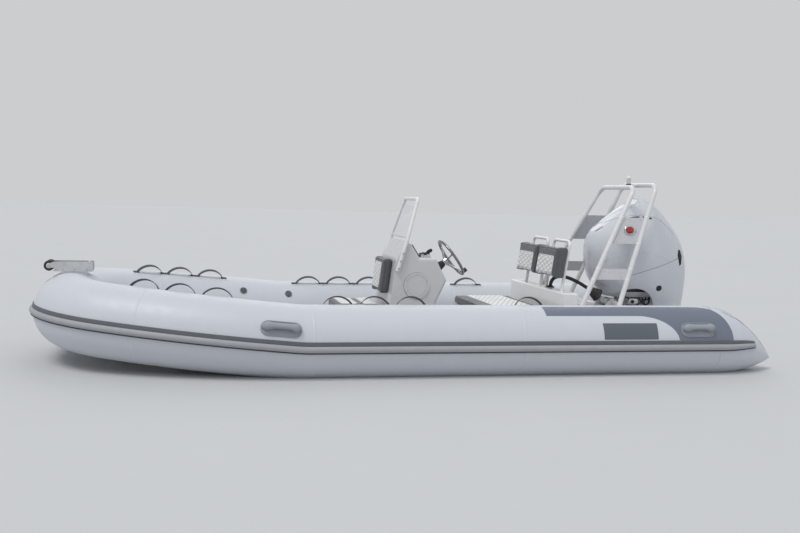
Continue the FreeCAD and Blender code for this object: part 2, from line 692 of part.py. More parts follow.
def bridge_ends():
    """The middles of the two hoops' top bars."""
    front = arch_leg(*FRONT_HOOP, size("arch_front_top_z"))
    aft = arch_leg(*AFT_HOOP, size("arch_aft_top_z"))
    return Vector(front.x, 0, front.z), Vector(aft.x, 0, aft.z)


def arch_plates():
    plates = [side_plate(size("plate_low"), size("plate_high")), side_plate(size("step_low"), size("step_high"))]
    half = size("bridge_half")
    thick = Z_AXIS * size("plate_thick")
    front, aft = (point - Y_AXIS * half - thick / 2 for point in bridge_ends())
    bridge = flat_face([front, aft, aft + thick, front + thick]).extrude(Y_AXIS * 2 * half)
    pieces = Part.makeCompound(plates + [mirrored(plate) for plate in plates] + [bridge])
    cut = pieces.cut(front_hoop).cut(aft_hoop)
    return Part.makeCompound([solid for solid in cut.Solids if solid.Volume > OFFCUT])


ARCH_PLATES = arch_plates()
shaped("arch_plates", ARCH_PLATES)


def nav_light():
    """A round side light on the outboard face of the upper plate."""
    up = size("nav_light_up")
    middle = (arch_leg(*FRONT_HOOP, up) + arch_leg(*AFT_HOOP, up)) * 0.5
    normal = Vector(0, 1, size("arch_lean")).normalize()
    face = middle + normal * (size("plate_thick") / 2)
    deep, radius = size("nav_light_deep"), size("nav_light_radius")
    base = Part.makeCylinder(radius, deep / 2, face, normal)
    lens = Part.makeCone(radius * 0.86, radius * 0.55, deep / 2, face + normal * (deep / 2), normal)
    return base.fuse(lens)


shaped("nav_light_port", nav_light())
shaped("nav_light_starboard", mirrored(nav_light()))


def mast_light():
    """The all-round light: a base sunk on the bridge, a lens and its domed cap."""
    front, aft = bridge_ends()
    sunk, radius = size("mast_base_sunk"), size("mast_lens_radius")
    seat = (front + aft) * 0.5 + Z_AXIS * (size("plate_thick") / 2 + size("mast_base_lift"))
    lens_foot = seat + Z_AXIS * size("mast_base_high")
    base = Part.makeCylinder(size("mast_base_radius"), size("mast_base_high") + sunk, seat - Z_AXIS * sunk)
    lens = Part.makeCylinder(radius, size("mast_lens_high"), lens_foot)
    dome = Part.makeSphere(radius, lens_foot + Z_AXIS * size("mast_lens_high"))
    lamp = base.multiFuse([lens, dome]).cut(ARCH_PLATES)
    return max(lamp.Solids, key=lambda solid: solid.Volume)


shaped("masthead_light", mast_light())


# Seats: moulded boxes with padded tops, and the aft seat's backrest on its frame.

def level_box(label, aft, fore, half, low, high, radius):
    """A box on the centreline with its upright corners rounded."""
    outline = [(aft, low), (fore, low), (fore, high), (aft, high)]
    body = outline_body(label, "XZ_Plane", outline, "2 * " + half)
    return rounded_body(body, radius, lambda edge: edge.BoundBox.ZLength > 10)


for label, aft, fore, half in (("front_seat_box", "front_seat_aft", "front_seat_fore", "front_seat_half"),
                               ("helm_seat_box", "locker_front + 4", "helm_seat_fore", "helm_seat_half")):
    kept(level_box(label, aft, fore, half, "deck_top", "seat_box_top", "pad_round"), label)


def cushion(label, aft, fore, half):
    low, high = "seat_box_top + soft_gap", "seat_box_top + seat_pad_thick"
    outline = [(aft, low), (fore, low), (fore, high), (aft, high)]
    body = outline_body(label, "XZ_Plane", outline, "2 * (%s)" % half)
    floor = number(low)
    return rounded_body(body, "pad_round", lambda edge: edge.BoundBox.ZMax > floor + 1)


for label, aft, box in (("front_seat_cushion", "front_seat_aft", "front_seat"),
                        ("helm_seat_cushion", "helm_pad_aft", "helm_seat")):
    kept(cushion(label, aft, box + "_fore + seat_overhang", box + "_half + seat_overhang"), label)


def lean_point(up, back):
    """A point of the backrest's side view: up the leaning front face, and back from it."""
    return size("back_front_low") - size("back_lean") * (up - size("back_pad_low")) - back


def back_pad():
    low, high, thick = size("back_pad_low"), size("back_pad_high"), size("back_pad_thick")
    inner, outer = size("back_pad_inner"), size("back_pad_outer")
    corners = ((low, 0), (high, 0), (high, thick), (low, thick))
    side = flat_face([Vector(lean_point(up, back), inner, up) for up, back in corners])
    pad = side.extrude(Y_AXIS * (outer - inner))
    return pad.makeFillet(size("pad_round"), pad.Edges)


shaped("backrest_pad_port", back_pad())
shaped("backrest_pad_starboard", mirrored(back_pad()))


def back_hoop():
    """An inverted U of tube behind one pad: feet on the locker, its top bar is the grab handle."""
    back = size("back_pad_thick") + size("soft_gap") + size("back_tube")
    foot_up, top_up = size("locker_top"), size("back_handle_up")
    root_up = foot_up - size("back_tube")
    inner, outer = size("back_hoop_inner"), size("back_hoop_outer")
    corners = ((root_up, inner), (top_up, inner), (top_up, outer), (root_up, outer))
    points = [Vector(lean_point(up, back), out, up) for up, out in corners]
    tube = bent_tube(points, size("back_hoop_bend"), size("back_tube"))
    room = 4 * size("back_tube")
    below = Part.makeBox(2 * room, outer + room, room, Vector(points[0].x - room, 0, foot_up - room))
    return tube.cut(below)


shaped("backrest_frame", both_sides(back_hoop()))


# Centre console.

CONSOLE = (
    ("console_foot_aft", "deck_top"), ("console_foot_fore", "deck_top"), ("console_front_x", "console_front_up"),
    ("console_top_fore", "console_top"), ("console_brow_x", "console_brow_up"),
    ("console_step_x", "console_step_up"), ("console_ledge_x", "console_step_up"),
    ("console_helm_x", "console_helm_up"), ("console_foot_aft", "console_knee_up"),
)


def console():
    body = outline_body("console_body", "XZ_Plane", list(CONSOLE), "2 * console_half")
    half = size("console_half")
    return rounded_body(body, "console_round",
                        lambda edge: abs(abs(edge.BoundBox.YMin) - half) < 0.1 and edge.BoundBox.YLength < 0.1
                        and edge.BoundBox.ZMin > size("deck_top") + 1 and edge.BoundBox.XMin < -60)


console_body = kept(console(), "console_body")
CONSOLE_SHAPE = console_body.Shape


def dash_panel():
    """The black switch panel on the slope between the brow and the ledge."""
    top = Vector(size("console_brow_x"), 0, size("console_brow_up"))
    low = Vector(size("console_step_x"), 0, size("console_step_up"))
    along = (low - top).normalize()
    normal = along.cross(Y_AXIS)
    normal = normal if normal.z > 0 else normal * -1
    half = size("console_half") - size("dash_margin") - size("console_round")
    edge = size("dash_margin") / 2
    corner = top + along * edge - Y_AXIS * half + normal * size("seat_gap")
    down, across = along * ((low - top).Length - 2 * edge), Y_AXIS * 2 * half
    face = flat_face([corner, corner + down, corner + down + across, corner + across])
    return face.extrude(normal * size("dash_thick"))


shaped("dash_panel", dash_panel())


def inspection_hatch():
    """A screw-down ring on the console's port side with a lid that turns out."""
    radius, lid, proud = size("hatch_radius"), size("hatch_lid_radius"), size("hatch_proud")
    place = Vector(size("hatch_x"), size("console_half"), size("hatch_up"))
    ring = Part.makeCylinder(radius, proud, place, Y_AXIS).cut(Part.makeCylinder(lid, proud, place, Y_AXIS))
    deep = proud - size("hatch_lid_low")
    cover = Part.makeCylinder(lid - size("hatch_gap"), deep, place, Y_AXIS)
    dip = size("hatch_dip_radius")
    for swing in (55, 235):
        out = Rotation(Y_AXIS, swing).multVec(X_AXIS) * (lid / 2)
        cover = cover.cut(Part.makeSphere(dip, place + out + Y_AXIS * (deep + dip - size("hatch_dip_deep"))))
    return ring, cover


hatch_ring, hatch_lid = inspection_hatch()
shaped("console_hatch_ring", hatch_ring)
shaped("console_hatch_lid", hatch_lid)


def console_cushion():
    """The pad on the console's front, which the forward seat leans on."""
    foot = Vector(size("console_foot_fore"), 0, size("deck_top"))
    knee = Vector(size("console_front_x"), 0, size("console_front_up"))
    slope = (knee.x - foot.x) / (knee.z - foot.z)
    low, high, half = size("console_pad_low"), size("console_pad_high"), size("console_pad_half")
    gap, thick = size("soft_gap") + 0.1, size("console_pad_thick")
    front = [Vector(foot.x + slope * (up - foot.z) + back, -half, up) for up, back in
             ((low, gap), (low, thick), (high, thick), (high, gap))]
    pad = flat_face(front).extrude(Y_AXIS * 2 * half)
    return pad.makeFillet(size("pad_round"), pad.Edges)


shaped("console_cushion", console_cushion())


# Windscreen: a bent tube bolted to the console's sides, with a clear panel in it.

def screen_points():
    out = size("console_half") + size("screen_tube") + size("seat_gap")
    foot_x, top_x = size("screen_foot_x"), size("screen_top_x")
    rake = (top_x - foot_x) / (size("screen_top_up") - size("screen_foot_up"))
    bend_x = foot_x + rake * (size("screen_bend_up") - size("screen_foot_up"))
    port = [Vector(foot_x, out, size("screen_foot_up")), Vector(bend_x, out, size("screen_bend_up")),
            Vector(top_x, size("screen_top_half"), size("screen_top_up"))]
    return port + [Vector(point.x, -point.y, point.z) for point in port[::-1]]


SCREEN = screen_points()
screen_frame = bent_tube(SCREEN, size("screen_bend"), size("screen_tube"))
shaped("windscreen_frame", screen_frame)


def screen_panel():
    """The clear panel: it fills the frame above the console and is seated in the tube all round."""
    foot, bend, top = SCREEN[:3]
    rake = (top.x - bend.x) / (top.z - bend.z)
    lean = (top.y - bend.y) / (top.z - bend.z)
    corners = []
    for up in (size("screen_panel_low"), size("screen_panel_high")):
        rise = up - bend.z
        corners.append(Vector(bend.x + rake * rise, bend.y + lean * rise - size("screen_edge"), up))
    port_low, port_high = corners
    starboard = [Vector(point.x, -point.y, point.z) for point in (port_high, port_low)]
    face = flat_face([port_low, port_high] + starboard)
    normal = Vector(1, 0, -rake).normalize()
    thick = normal * size("screen_panel_thick")
    panel = face.translated(thick / -2).extrude(thick)
    grown = bent_tube(SCREEN, size("screen_bend"), size("screen_tube") + size("seat_gap"))
    return panel.cut(grown)


shaped("windscreen_panel", max(screen_panel().Solids, key=lambda solid: solid.Volume))


# Helm: boss, shaft and steering wheel on one raked axis.

WHEEL_AXIS = Rotation(Y_AXIS, -size("wheel_tilt")).multVec(Z_AXIS)
WHEEL_CENTRE = Vector(size("wheel_x"), 0, size("wheel_up"))


def helm_boss():
    """The bezel under the wheel: a cone that stands on the console's slope, bored for the shaft."""
    reach = size("wheel_dish") + size("wheel_hub_thick") + size("helm_boss_gap")
    long = size("helm_boss_out") + size("helm_boss_root")
    start = WHEEL_CENTRE - WHEEL_AXIS * (reach + long)
    bezel = Part.makeCone(size("helm_boss_radius"), size("helm_boss_neck"), long, start, WHEEL_AXIS)
    bezel = min(bezel.cut(CONSOLE_SHAPE).Solids, key=lambda piece: (WHEEL_CENTRE - piece.CenterOfMass).Length)
    return bezel.cut(Part.makeCylinder(size("helm_shaft") + size("pin_play"), long, start, WHEEL_AXIS))


shaped("helm_boss", helm_boss())


def steering_wheel():
    """Rim, hub and spokes that dish towards the helm; the shaft runs in the boss."""
    rim = Part.makeTorus(size("wheel_radius"), size("wheel_rim"), WHEEL_CENTRE, WHEEL_AXIS)
    hub_low = WHEEL_CENTRE - WHEEL_AXIS * (size("wheel_dish") + size("wheel_hub_thick"))
    hub = Part.makeCylinder(size("wheel_hub_radius"), size("wheel_hub_thick"), hub_low, WHEEL_AXIS)
    shaft_long = size("helm_shaft_long")
    shaft = Part.makeCylinder(size("helm_shaft"), shaft_long, hub_low - WHEEL_AXIS * shaft_long, WHEEL_AXIS)
    spokes = []
    count = int(size("wheel_spokes"))
    radial = WHEEL_AXIS.cross(Y_AXIS).normalize()
    for index in range(count):
        out = Rotation(WHEEL_AXIS, size("wheel_spoke_angle") + 360 * index / count).multVec(radial)
        start = hub_low + WHEEL_AXIS * (size("wheel_hub_thick") / 2) + out * (size("wheel_hub_radius") - 6)
        end = WHEEL_CENTRE + out * (size("wheel_radius") - size("wheel_rim") * 0.5)
        spokes.append(Part.makeCylinder(size("wheel_spoke"), (end - start).Length, start, end - start))
    metal = hub.multiFuse([shaft] + spokes)
    out = Rotation(WHEEL_AXIS, size("wheel_knob_angle")).multVec(radial)
    knob_foot = WHEEL_CENTRE + out * size("wheel_radius") + WHEEL_AXIS * (size("wheel_rim") - size("wheel_seat"))
    knob = Part.makeCylinder(size("wheel_knob_radius"), size("wheel_knob_long"), knob_foot, WHEEL_AXIS)
    return rim, metal.cut(rim), max(knob.cut(rim).Solids, key=lambda piece: piece.Volume)


wheel_rim, wheel_spokes, wheel_knob = steering_wheel()
shaped("wheel_rim", wheel_rim)
shaped("wheel_spokes", wheel_spokes)
shaped("wheel_knob", wheel_knob)


def throttle():
    """The engine control on the ledge: a low housing with a lever leaning aft."""
    seat = Vector(size("throttle_x"), size("throttle_side"), size("console_step_up"))
    long_half, wide_half, high = size("throttle_long") / 2, size("throttle_wide") / 2, size("throttle_high")
    base = Part.makeBox(2 * long_half, 2 * wide_half, high, seat - Vector(long_half, wide_half, 0))
    top_edges = [edge for edge in base.Edges if edge.BoundBox.ZMax > seat.z + high - 1]
    base = base.makeFillet(size("throttle_round"), top_edges)
    foot = seat + Z_AXIS * (high - size("lever_radius"))
    lean = Rotation(Y_AXIS, -size("lever_lean")).multVec(Z_AXIS)
    lever = Part.makeCylinder(size("lever_radius"), size("lever_long"), foot, lean)
    grip = Part.makeCylinder(size("grip_radius"), size("grip_long"), foot + lean * size("lever_long"), lean)
    return base.multiFuse([lever, grip])


shaped("throttle", throttle())


# Bow bracket with its anchor roller and cleat.

BOW = tube_frame(sum(leg.length for leg in LEGS[1:]))[0]
ROLLER = Vector(BOW.x + size("roller_ahead"), 0, BOW.z + size("roller_over"))


def bow_bracket():
    """A floor on a foot that fits the tube, two cheeks that end in ears, the roller's pin and a cleat."""
    half, thick, ear_radius = size("bracket_half"), size("bracket_thick"), size("bracket_ear")
    fore = ROLLER.x - size("bracket_reach")
    aft = fore - size("bracket_long")
    floor, top = ROLLER.z - size("bracket_below"), ROLLER.z + size("bracket_above")
    inset, deep = size("bracket_foot_inset"), size("bracket_foot_deep")
    foot_start, foot_end = aft + size("bracket_foot_start"), fore - size("bracket_foot_end")
    foot_corner = Vector(foot_start, inset - half, floor - deep)
    foot = Part.makeBox(foot_end - foot_start, 2 * (half - inset), deep, foot_corner)
    foot = max(foot.cut(TUBES_GROWN).Solids, key=lambda piece: piece.CenterOfMass.z)
    plate = Part.makeBox(fore - aft, 2 * half, thick, Vector(aft, -half, floor))
    low, high = ROLLER.z - ear_radius, ROLLER.z + ear_radius
    outline = [(aft, floor), (fore - size("bracket_shoulder"), floor), (fore, low), (ROLLER.x, low),
               (ROLLER.x, high), (fore, top), (aft, top)]
    side = flat_face([Vector(x, half - thick, up) for x, up in outline])
    ear = Part.makeCylinder(ear_radius, thick, ROLLER + Y_AXIS * (half - thick), Y_AXIS)
    cheek = side.extrude(Y_AXIS * thick).fuse(ear)
    pin = cross_rod(ROLLER.x, ROLLER.z, half, size("roller_pin"))
    cleat_x = aft + size("cleat_start")
    post = Part.makeCylinder(size("cleat_post"), size("cleat_up"), Vector(cleat_x, 0, floor))
    horn = cross_rod(cleat_x, floor + size("cleat_up"), size("cleat_half"), size("cleat_horn"))
    return plate.multiFuse([foot, cheek, mirrored(cheek), pin, post, horn]).removeSplitter()


shaped("bow_bracket", bow_bracket())


def bow_roller():
    """A waisted roller that turns on the bracket's pin."""
    half = size("bracket_half") - size("bracket_thick") - size("roller_gap")
    radius, bore = size("roller_radius"), size("roller_pin") + size("roller_play")
    waist = radius * 0.62
    profile = [(-half, bore), (-half, radius), (-half * 0.7, radius), (-half * 0.2, waist), (half * 0.2, waist),
               (half * 0.7, radius), (half, radius), (half, bore)]
    return flat_face([ROLLER + Vector(0, out, up) for out, up in profile]).revolve(ROLLER, Y_AXIS, 360)


shaped("bow_roller", bow_roller())


# Towing eyes: plates with a bore across the boat.

def eye_plate(centre, root, thick):
    """A flat lug: a round eye with a web back to its root, bored across the boat."""
    radius = size("eye_radius")
    along = (root - centre).normalize()
    side = Y_AXIS.cross(along) * radius
    start = centre - Y_AXIS * (thick / 2)
    end = start + (root - centre)
    web = flat_face([start + side, end + side, end - side, start - side])
    lug = web.extrude(Y_AXIS * thick).fuse(Part.makeCylinder(radius, thick, start, Y_AXIS))
    return lug.cut(Part.makeCylinder(size("eye_bore"), thick, start, Y_AXIS))


bow_eye_centre = Vector(size("bow_eye_x"), 0, size("bow_eye_up"))
bow_eye = eye_plate(bow_eye_centre, bow_eye_centre + Vector(-90, 0, 34), size("eye_thick")).cut(HULL)
shaped("bow_eye", max(bow_eye.Solids, key=lambda piece: piece.CenterOfMass.x))
stern_face = size("hull_end") - size("transom_thick")
stern_eye_centre = Vector(stern_face - size("stern_eye_out"), size("stern_eye_side"), size("stern_eye_up"))
stern_eye_root = stern_eye_centre + X_AXIS * size("stern_eye_out")
stern_eye = eye_plate(stern_eye_centre, stern_eye_root, size("eye_thick"))
shaped("stern_eyes", both_sides(stern_eye))


# Outboard engine: clamp bracket on the transom, tilting swivel bracket and trim ram.

TILT = Vector(size("tilt_x"), 0, size("tilt_up"))
STEER = Vector(size("steer_x"), 0, 0)


def clamp_bracket():
    """Two side plates that hook over the transom, with the tilt tube and the ram's foot pin across them."""
    inner, thick = size("clamp_inner"), size("clamp_thick")
    face, board = stern_face, size("hull_end")
    top, gap = size("transom_top"), size("seat_gap")
    outline = [
        (board + 26, top - 150), (board + gap, top - 150), (board + gap, top + gap), (face - gap, top + gap),
        (face - gap, size("clamp_low")), (face - size("clamp_deep"), size("clamp_low") + 20),
        (face - size("clamp_deep"), top - 60), (TILT.x - 28, TILT.z + 12), (TILT.x - 12, TILT.z + 28),
        (TILT.x + 10, TILT.z + 28), (board + 16, top + 20), (board + 26, top),
    ]
    side = flat_face([Vector(x, inner, z) for x, z in outline]).extrude(Y_AXIS * thick)
    tube = cross_rod(TILT.x, TILT.z, size("tilt_tube_half"), size("tilt_tube"))
    pin = cross_rod(size("ram_foot_x"), size("ram_foot_up"), inner + 2, size("ram_pin"))
    return side.multiFuse([mirrored(side), tube, pin]).removeSplitter()


shaped("clamp_bracket", clamp_bracket())


def swivel_bracket():
    """The piece that tilts: a sleeve on the tilt tube, two arms, and the barrel that the engine steers in."""
    arm_in, arm = size("arm_inner"), size("arm_thick")
    steer_top, steer_low, barrel = size("steer_top"), size("steer_low"), size("barrel_radius")
    bore = size("tilt_tube") + size("pin_play")
    arm_rear = STEER.x - barrel * 0.4
    outline = [
        (TILT.x - 2, TILT.z + size("tilt_boss")), (TILT.x - 42, TILT.z + 20), (arm_rear, steer_top - 4),
        (arm_rear, steer_low + 60), (STEER.x + barrel, steer_low + 60), (stern_face - 14, TILT.z - 36),
        (TILT.x + 4, TILT.z - size("tilt_boss")),
    ]
    side = flat_face([Vector(x, arm_in, z) for x, z in outline]).extrude(Y_AXIS * arm)
    sleeve = cross_rod(TILT.x, TILT.z, arm_in + arm, size("tilt_boss"))
    column = Part.makeCylinder(barrel, steer_top - steer_low, STEER + Z_AXIS * steer_low)
    webs = [Part.makeBox(barrel, 2 * arm_in + 4, 26, Vector(arm_rear, -arm_in - 2, up))
            for up in (steer_low + 62, steer_top - 60)]
    pin = cross_rod(size("ram_eye_x"), size("ram_eye_up"), arm_in + 2, size("ram_pin"))
    bracket = side.multiFuse([mirrored(side), sleeve, column, pin] + webs)
    bracket = bracket.cut(cross_rod(TILT.x, TILT.z, 200, bore))
    play = size("shaft_radius") + size("shaft_play")
    return bracket.cut(Part.makeCylinder(play, 500, STEER + Z_AXIS * (steer_low - 50))).removeSplitter()


RAM_FOOT = Vector(size("ram_foot_x"), 0, size("ram_foot_up"))
RAM_EYE = Vector(size("ram_eye_x"), 0, size("ram_eye_up"))
RAM_AXIS = (RAM_EYE - RAM_FOOT).normalize()


def trim_ram():
    """Power trim: a barrel pinned at its foot, and a rod whose eye rides the swivel bracket's pin."""
    half, pin = size("ram_half"), size("ram_pin")
    long, start = size("ram_barrel_long"), size("ram_barrel_start")
    barrel = Part.makeCylinder(size("ram_radius"), long - start, RAM_FOOT + RAM_AXIS * start, RAM_AXIS)
    barrel = barrel.fuse(cross_rod(RAM_FOOT.x, RAM_FOOT.z, half, size("ram_foot_radius")))
    barrel = barrel.cut(cross_rod(RAM_FOOT.x, RAM_FOOT.z, half, pin + size("pin_play")))
    room = size("ram_rod") + size("ram_play")
    floor = size("ram_floor")
    barrel = barrel.cut(Part.makeCylinder(room, long, RAM_FOOT + RAM_AXIS * (floor - size("ram_slack")), RAM_AXIS))
    reach = (RAM_EYE - RAM_FOOT).Length - floor - size("ram_eye_radius") + size("ram_seat")
    rod = Part.makeCylinder(size("ram_rod"), reach, RAM_FOOT + RAM_AXIS * floor, RAM_AXIS)
    rod = rod.fuse(cross_rod(RAM_EYE.x, RAM_EYE.z, half, size("ram_eye_radius")))
    return barrel, rod.cut(cross_rod(RAM_EYE.x, RAM_EYE.z, half, pin + size("eye_play")))


trim_cylinder, trim_rod = trim_ram()
shaped("trim_cylinder", trim_cylinder)
shaped("trim_rod", trim_rod)
ram_sweep = Part.makeCylinder(size("ram_radius") + 5, size("ram_barrel_long"), RAM_FOOT, RAM_AXIS)
shaped("swivel_bracket", swivel_bracket().cut(ram_sweep))


# Outboard engine: cowl in two shells, block, steering yoke, leg, gearcase and propeller.

# Columns: height, front, rear, half width. The plan tapers aft and the crown leans back.
COWL_SECTIONS = (
    (360, -1880, -2498, 205), (450, -1830, -2508, 243), (560, -1728, -2515, 278), (700, -1670, -2515, 290),
    (850, -1663, -2480, 288), (950, -1695, -2430, 276), (1050, -1795, -2355, 246), (1140, -1905, -2275, 192),
    (1205, -2000, -2190, 120), (1240, -2050, -2125, 50),
)


def plan_loop(side, up):
    """A level loop with round corners, from its port side's points and their mirror image."""
    return rounded_loop([Vector(x, y, up) for x, y in side] + [Vector(x, -y, up) for x, y in side[::-1]])


def egg_loop(up, front, rear, half, inset=0):
    """The cowl's plan at a height: blunt and wide in front, tapering aft."""
    front, rear, half = front - inset, rear + inset, half - inset
    long = front - rear
    fore, aft = front - 0.2 * long, rear + 0.38 * long
    return plan_loop([(front, 0.36 * half), (fore, half), (aft, 0.98 * half), (rear, 0.3 * half)], up)


# Half the width of every tool that cuts across the cowl, and how far the splitting tools reach.
COWL_TOOL_HALF, COWL_TOOL_LONG, COWL_TOOL_LEAD = 600, 1400, 200


def cowl_solid(inset):
    """The cowl's outer form, or the form that lies an inset within its sides and under its top."""
    solid = Part.makeLoft([egg_loop(*section, inset=inset) for section in COWL_SECTIONS], True, False)
    if inset <= 0:
        return solid
    corner = Vector(size("cav_plate_rear") - COWL_TOOL_LEAD, -COWL_TOOL_HALF, COWL_SECTIONS[-1][0] - inset)
    return solid.cut(Part.makeBox(COWL_TOOL_LONG, 2 * COWL_TOOL_HALF, COWL_TOOL_LEAD, corner))


# Side view arcs on the hood, as (distance forward, height): the cap's seam, and the crease down its flank.
CAP_SEAM = ((-1640, 884), (-2040, 1112), (-2352, 958))
CREASE = ((-1690, 706), (-2060, 812), (-2380, 668))
# Air slots under the cap's seam: aft and fore end.
AIR_SLOTS = ((-2112, -2032), (-2000, -1880), (-1760, -1715))


def flank_strip(arc, drop, high):
    """A strip under an arc of the side view, carried across the cowl."""
    top = [Vector(x, -COWL_TOOL_HALF, up - drop) for x, up in arc]
    low = [point - Z_AXIS * high for point in top]
    strip = Part.Wire([
        Part.Arc(*top).toShape(), Part.LineSegment(top[2], low[2]).toShape(),
        Part.Arc(*low[::-1]).toShape(), Part.LineSegment(low[0], top[0]).toShape(),
    ])
    return Part.Face(strip).extrude(Y_AXIS * 2 * COWL_TOOL_HALF)


def hood_recesses():
    """What is cut into the hood's skin: cap seam, flank crease, air slots and the vent at the rear."""
    seam = flank_strip(CAP_SEAM, 0, size("cap_seam_wide")).cut(cowl_solid(size("cap_seam_deep")))
    crease = flank_strip(CREASE, 0, size("crease_wide")).cut(cowl_solid(size("crease_deep")))
    slots = flank_strip(CAP_SEAM, size("slot_drop"), size("slot_high")).cut(cowl_solid(size("slot_deep")))
    spans = [Part.makeBox(fore - aft, 2 * COWL_TOOL_HALF, COWL_TOOL_LONG, Vector(aft, -COWL_TOOL_HALF, 0))
             for aft, fore in AIR_SLOTS]
    half, up, high = size("vent_half"), size("vent_up"), size("vent_high") / 2
    hexagon = [(half, up - high / 2), (half, up + high / 2), (0, up + high), (-half, up + high / 2),
               (-half, up - high / 2), (0, up - high)]
    vent = flat_face([Vector(size("cav_plate_rear") - COWL_TOOL_LEAD, y, z) for y, z in hexagon])
    vent = vent.extrude(X_AXIS * 2 * COWL_TOOL_LEAD).cut(cowl_solid(size("vent_deep")))
    return [seam, crease, vent] + [slots.common(span) for span in spans]


def cowl_shells():
    """Upper hood and lower apron: one hollow form split along a line that climbs aft, arched open below."""
    shell = cowl_solid(0).cut(cowl_solid(size("cowl_wall")))
    slope, gap = size("split_slope"), size("cowl_gap")
    start = Vector(size("split_front_x") + COWL_TOOL_LEAD, -COWL_TOOL_HALF,
                   size("split_front_up") - slope * COWL_TOOL_LEAD)
    end = start + Vector(-1, 0, slope) * COWL_TOOL_LONG
    rise, across = Z_AXIS * COWL_TOOL_LONG, Y_AXIS * 2 * COWL_TOOL_HALF
    above = flat_face([start, end, end + rise, start + rise]).extrude(across)
    start, end = start - Z_AXIS * gap, end - Z_AXIS * gap
    below = flat_face([start, end, end - rise, start - rise]).extrude(across)
    upper = shell.common(above)
    for recess in hood_recesses():
        upper = upper.cut(recess)
    arch = cross_rod(size("arch_cut_x"), size("arch_cut_up"), COWL_TOOL_HALF, size("arch_cut_radius"))
    chin = Part.makeBox(COWL_TOOL_LONG, 2 * COWL_TOOL_HALF, COWL_TOOL_LONG,
                        Vector(size("arch_cut_x"), -COWL_TOOL_HALF, size("cowl_front_up") - COWL_TOOL_LONG))
    grip = cross_rod(size("grip_x"), size("grip_up"), COWL_TOOL_HALF, size("grip_hole"))
    lower = shell.common(below).cut(arch).cut(chin).cut(grip.cut(cowl_solid(size("grip_deep"))))
    return [max(part.Solids, key=lambda piece: piece.Volume) for part in (upper, lower)]


cowl_upper, cowl_lower = cowl_shells()
shaped("cowl_upper", cowl_upper)
shaped("cowl_lower", cowl_lower)


def engine_base():
    """The pan that the powerhead stands on, inside the lower cowl."""
    low, high = size("pan_low"), size("pan_high")
    front, rear, half = size("pan_front"), size("pan_rear"), size("pan_half")
    wires = [egg_loop(low, front - 30, rear + 40, half - 35), egg_loop(high, front, rear, half)]
    return Part.makeLoft(wires, True, True).common(cowl_solid(size("cowl_wall") + size("seat_gap")))


ENGINE_PAN = engine_base()
shaped("engine_pan", ENGINE_PAN)

block = primitive("Box", "powerhead", ("block_rear", "-block_half", "pan_high"),
                  Length="block_front - block_rear", Width="2 * block_half", Height="block_top - pan_high")
kept(block, "powerhead")


def leg_loop(up, front, rear, half):
    """A streamlined section: a round nose and a thinner tail."""
    long = front - rear
    fore, aft = front - 0.22 * long, rear + 0.4 * long
    return plan_loop([(front, 0.3 * half), (fore, half), (aft, 0.9 * half), (rear, 0.16 * half)], up)


def engine_leg():
    """The housing from the pan down to the plate above the propeller."""
    front, rear, half = size("leg_front"), size("leg_rear"), size("leg_half")
    sections = ((size("pan_low"), front, rear - 45, half + 18), (300, front, rear - 12, half + 3),
                (0, front - 8, rear, half - 4), (-190, front - 14, rear - 10, half - 14),
                (size("plate_up") + size("cav_plate_thick"), front - 8, rear - 24, half - 12))
    return Part.makeLoft([leg_loop(*section) for section in sections], True, False)


ENGINE_LEG = engine_leg()
shaped("engine_leg", ENGINE_LEG)


def steering_yoke():
    """The shaft that turns in the swivel barrel, its boss under the pan and its lower arm to the leg."""
    top, gap, high = size("steer_top"), size("yoke_gap"), size("yoke_arm_high")
    radius, pan, reach = size("yoke_radius"), size("pan_low"), size("yoke_arm_long")
    foot = STEER + Z_AXIS * (size("steer_low") - gap - high)
    boss = Part.makeCylinder(radius, pan - top - gap, STEER + Z_AXIS * (top + gap))
    shaft = Part.makeCylinder(size("shaft_radius"), pan - foot.z, foot)
    collar = Part.makeCylinder(radius, high, foot)
    arm = Part.makeBox(reach, 2 * radius, high, foot - Vector(reach, radius, 0)).cut(ENGINE_LEG)
    arm = max(arm.Solids, key=lambda piece: piece.CenterOfMass.x)
    return boss.multiFuse([shaft, collar, arm]).cut(ENGINE_LEG).removeSplitter()


shaped("steering_yoke", steering_yoke())


